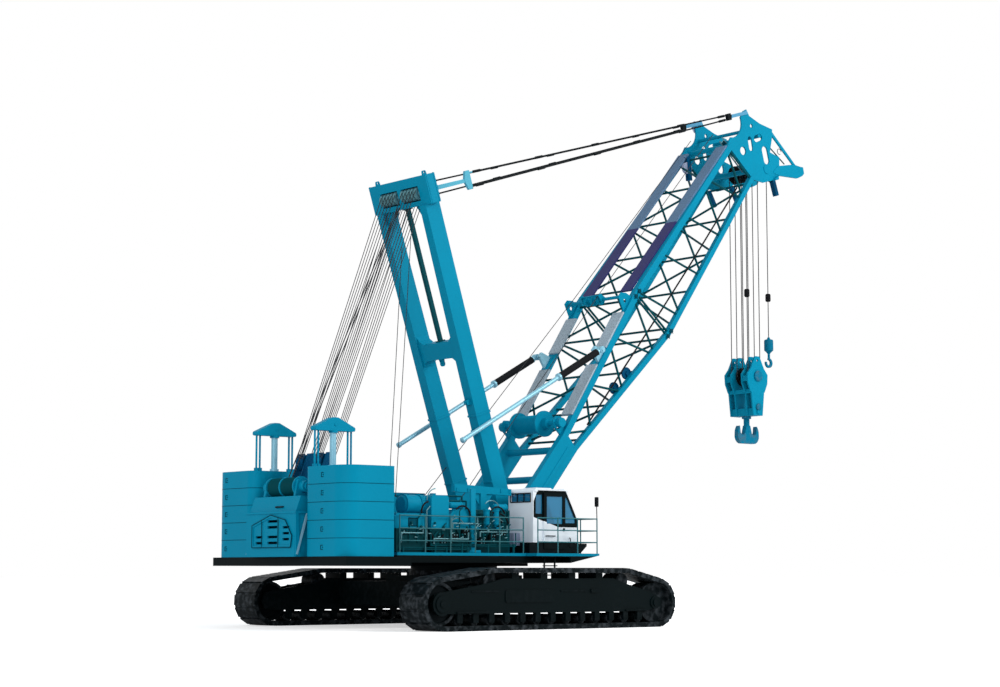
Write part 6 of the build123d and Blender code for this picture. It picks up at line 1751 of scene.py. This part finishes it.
@dataclass
class BoomTrim:
    """Fittings of the boom, placed along it: rope guides, ladder, cable duct and pins."""

    shop: Workshop
    guide_bars: tuple[Bar, ...] = (
        Bar((18.51, 0.0, -1.95), (18.05, 0.0, -2.72), 0.17, 0.15),
        Bar((16.07, -0.55, -0.53), (15.87, -0.55, -1.09), 0.13, 0.13),
        Bar((16.07, 0.55, -0.53), (15.87, 0.55, -1.09), 0.13, 0.13),
        Bar((16.35, 0.60, 0.95), (15.75, 0.60, 0.35), 0.05, 0.16),
        Bar((16.35, 0.72, 0.95), (15.75, 0.72, 0.35), 0.05, 0.16))
    wheel: Point = (16.02, 0.66, 0.72)
    wheel_profile: tuple[Pair, ...] = ((-0.05, 0.0), (-0.05, 0.21), (0.0, 0.18), (0.05, 0.21), (0.05, 0.0))
    bracket_y: float = 1.15
    bracket: tuple[Pair, ...] = ((17.75, 0.95), (17.80, 1.18), (18.08, 1.24), (18.22, 1.02), (18.05, 0.78))
    bracket_thickness: float = 0.03
    bracket_bevel: float = 0.004
    ladder_y: float = -0.76
    ladder_rails: tuple[Point, ...] = ((16.94, 1.05, -0.55), (16.74, 1.05, -0.45))
    rung_count: int = 7
    rung_start: float = 0.95
    rung_pitch: float = 0.23
    rail_size: Pair = (0.03, 0.04)
    rung_radius: float = 0.012
    sheet: Bar = Bar((16.84, -0.745, 0.95), (16.84, -0.745, 0.25), 0.012, 0.16)
    stay_foot: Point = (18.20, -1.0, -0.15)
    stay_top: Point = (18.36, -1.0, -1.62)
    stay_radius: float = 0.022
    ring_centre: Point = (18.52, -1.0, -1.15)
    ring_radius: float = 0.10
    ring_thickness: float = 0.012
    ring_sweep: float = 300.0
    duct_y: float = -1.30
    duct: tuple[Pair, ...] = ((4.4, -0.20), (9.7, -0.28), (11.8, -0.29), (15.6, -0.24))
    duct_radius: float = 0.028
    pin_s: Pair = (9.08, 9.32)
    pin_t: Pair = (0.94, -0.97)
    pin_y: float = -1.43
    pin_bolt_ring: float = 0.10
    pin_bolt_size: float = 0.016
    pin: tuple[Pair, ...] = ((0.0, 0.0), (0.0, 0.07), (0.03, 0.07), (0.04, 0.055), (0.04, 0.0))

    def bar(self, shape: Shape, bar: Bar) -> None:
        """Adds a bar that is given along the boom."""
        boom = self.shop.datum.boom
        shape.beam(boom(*bar.start), boom(*bar.end), bar.width, bar.depth)

    def guides(self) -> None:
        """Makes the deep blue rope guides, the pale wheel and the pale bracket."""
        boom, guides = self.shop.datum.boom, Shape()
        for bar in self.guide_bars:
            self.bar(guides, bar)
        self.shop.fit(guides, "rope_guides", Look.BLUE_DEEP, Body.BOOM)
        wheel = Shape().lathe(self.wheel_profile, boom(*self.wheel), LEFTWARD, 36)
        bracket = [boom(s, self.bracket_y, t) for s, t in self.bracket]
        wheel.plate(bracket, LEFTWARD * self.bracket_thickness, self.bracket_bevel)
        self.shop.fit(wheel, "guide_wheel", Look.BOX_GREY, Body.BOOM)

    def ladder(self) -> None:
        """Makes the ladder across the boom's end, its dark sheet and the stay of the nose."""
        boom, ladder, sheet, y = self.shop.datum.boom, Shape(), Shape(), self.ladder_y
        for s, low, high in self.ladder_rails:
            ladder.beam(boom(s, y, low), boom(s, y, high), *self.rail_size)
        for k in range(self.rung_count):
            t = self.rung_start - self.rung_pitch * k
            first, second = (boom(rail[0], y, t) for rail in self.ladder_rails)
            ladder.tube(first, second, self.rung_radius, 8)
        self.bar(sheet, self.sheet)
        self.shop.fit(ladder, "head_ladder", Look.PIPE, Body.BOOM)
        self.shop.fit(sheet, "ladder_sheet", Look.SEAM, Body.BOOM)
        stay = Shape().tube(boom(*self.stay_foot), boom(*self.stay_top), self.stay_radius)
        stay.arc(boom(*self.ring_centre), self.ring_radius, self.ring_thickness, 0.0, self.ring_sweep)
        self.shop.fit(stay, "nose_stay", Look.BRACE, Body.BOOM)

    def side(self) -> None:
        """Makes the cable duct and the pins of the boom's joint."""
        boom, pins = self.shop.datum.boom, Shape()
        duct = Shape().run([boom(s, self.duct_y, t) for s, t in self.duct], self.duct_radius, 10)
        self.shop.fit(duct, "cable_duct", Look.HOSE, Body.BOOM)
        for s in self.pin_s:
            for t in self.pin_t:
                centre = boom(s, self.pin_y, t)
                pins.lathe(self.pin, centre, RIGHTWARD, 20)
                pins.bolts(centre, RIGHTWARD, self.pin_bolt_ring, 4, self.pin_bolt_size)
        self.shop.fit(pins.mirrored(), "joint_pins", Look.SEAM, Body.BOOM)

    def build(self) -> None:
        """Makes all of it."""
        self.guides()
        self.ladder()
        self.side()


@dataclass
class HookTrim:
    """Caps and bolts of the hook block, and the weights that stop the hoists."""

    shop: Workshop
    block_x: float = 13.345
    cheek_y: float = -0.592
    caps: tuple[Pair, ...] = ((8.55, 0.19), (7.45, 0.12))
    cap_step: float = 0.02
    cap_height: float = 0.035
    cap_taper: float = 0.8
    bolt_ring: float = 0.88
    bolt_size: float = 0.013
    main_weight: Point = (13.035, -0.385, 11.50)
    aux_weight: Point = (14.565, 0.0, 11.50)
    weight: tuple[Pair, ...] = ((-0.14, 0.016), (-0.14, 0.075), (-0.10, 0.095), (0.10, 0.095), (0.14, 0.075),
                                (0.14, 0.016))

    def block(self) -> None:
        """Makes the caps on the block's cheeks and their bolts."""
        deck, caps, bolts = self.shop.datum.deck, Shape(), Shape()
        for z, radius in self.caps:
            profile = ((0.0, 0.0), (0.0, radius), (self.cap_step, radius),
                       (self.cap_height, radius * self.cap_taper), (self.cap_height, 0.0))
            caps.lathe(profile, deck(self.block_x, self.cheek_y, z), RIGHTWARD)
            face = deck(self.block_x, self.cheek_y - self.cap_step, z)
            bolts.bolts(face, RIGHTWARD, radius * self.bolt_ring, 8, self.bolt_size)
        self.shop.fit(caps.mirrored(), "block_caps", Look.HOOK, Body.MAIN_BLOCK)
        self.shop.fit(bolts.mirrored(), "block_bolts", Look.SEAM, Body.MAIN_BLOCK)

    def weights(self) -> None:
        """Makes the weights that hang on a fall and on the auxiliary line."""
        for name, place, body in (("main_limit_weight", self.main_weight, Body.MAIN_LINES),
                                  ("aux_limit_weight", self.aux_weight, Body.AUX_LINE)):
            shape = Shape().lathe(self.weight, self.shop.datum.deck(*place), UPWARD, 24)
            self.shop.fit(shape, name, Look.RUBBER, body)

    def build(self) -> None:
        """Makes all of it."""
        self.block()
        self.weights()


def main() -> None:
    """Builds the crane's dressed model in order."""
    logging.basicConfig(level=logging.INFO, format="%(message)s")
    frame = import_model()
    shop = Workshop(frame)
    for name, thing in shop.nodes.items():
        shop.palette.dress_node(thing, NODE_LOOKS.get(name, Look.BLUE))
    for part in (Studio, HookLines, MastRopes, StackTrim, DeckMachinery, CabTrim, BoomTrim, HookTrim):
        part(shop).build()


if __name__ == "__main__":
    main()
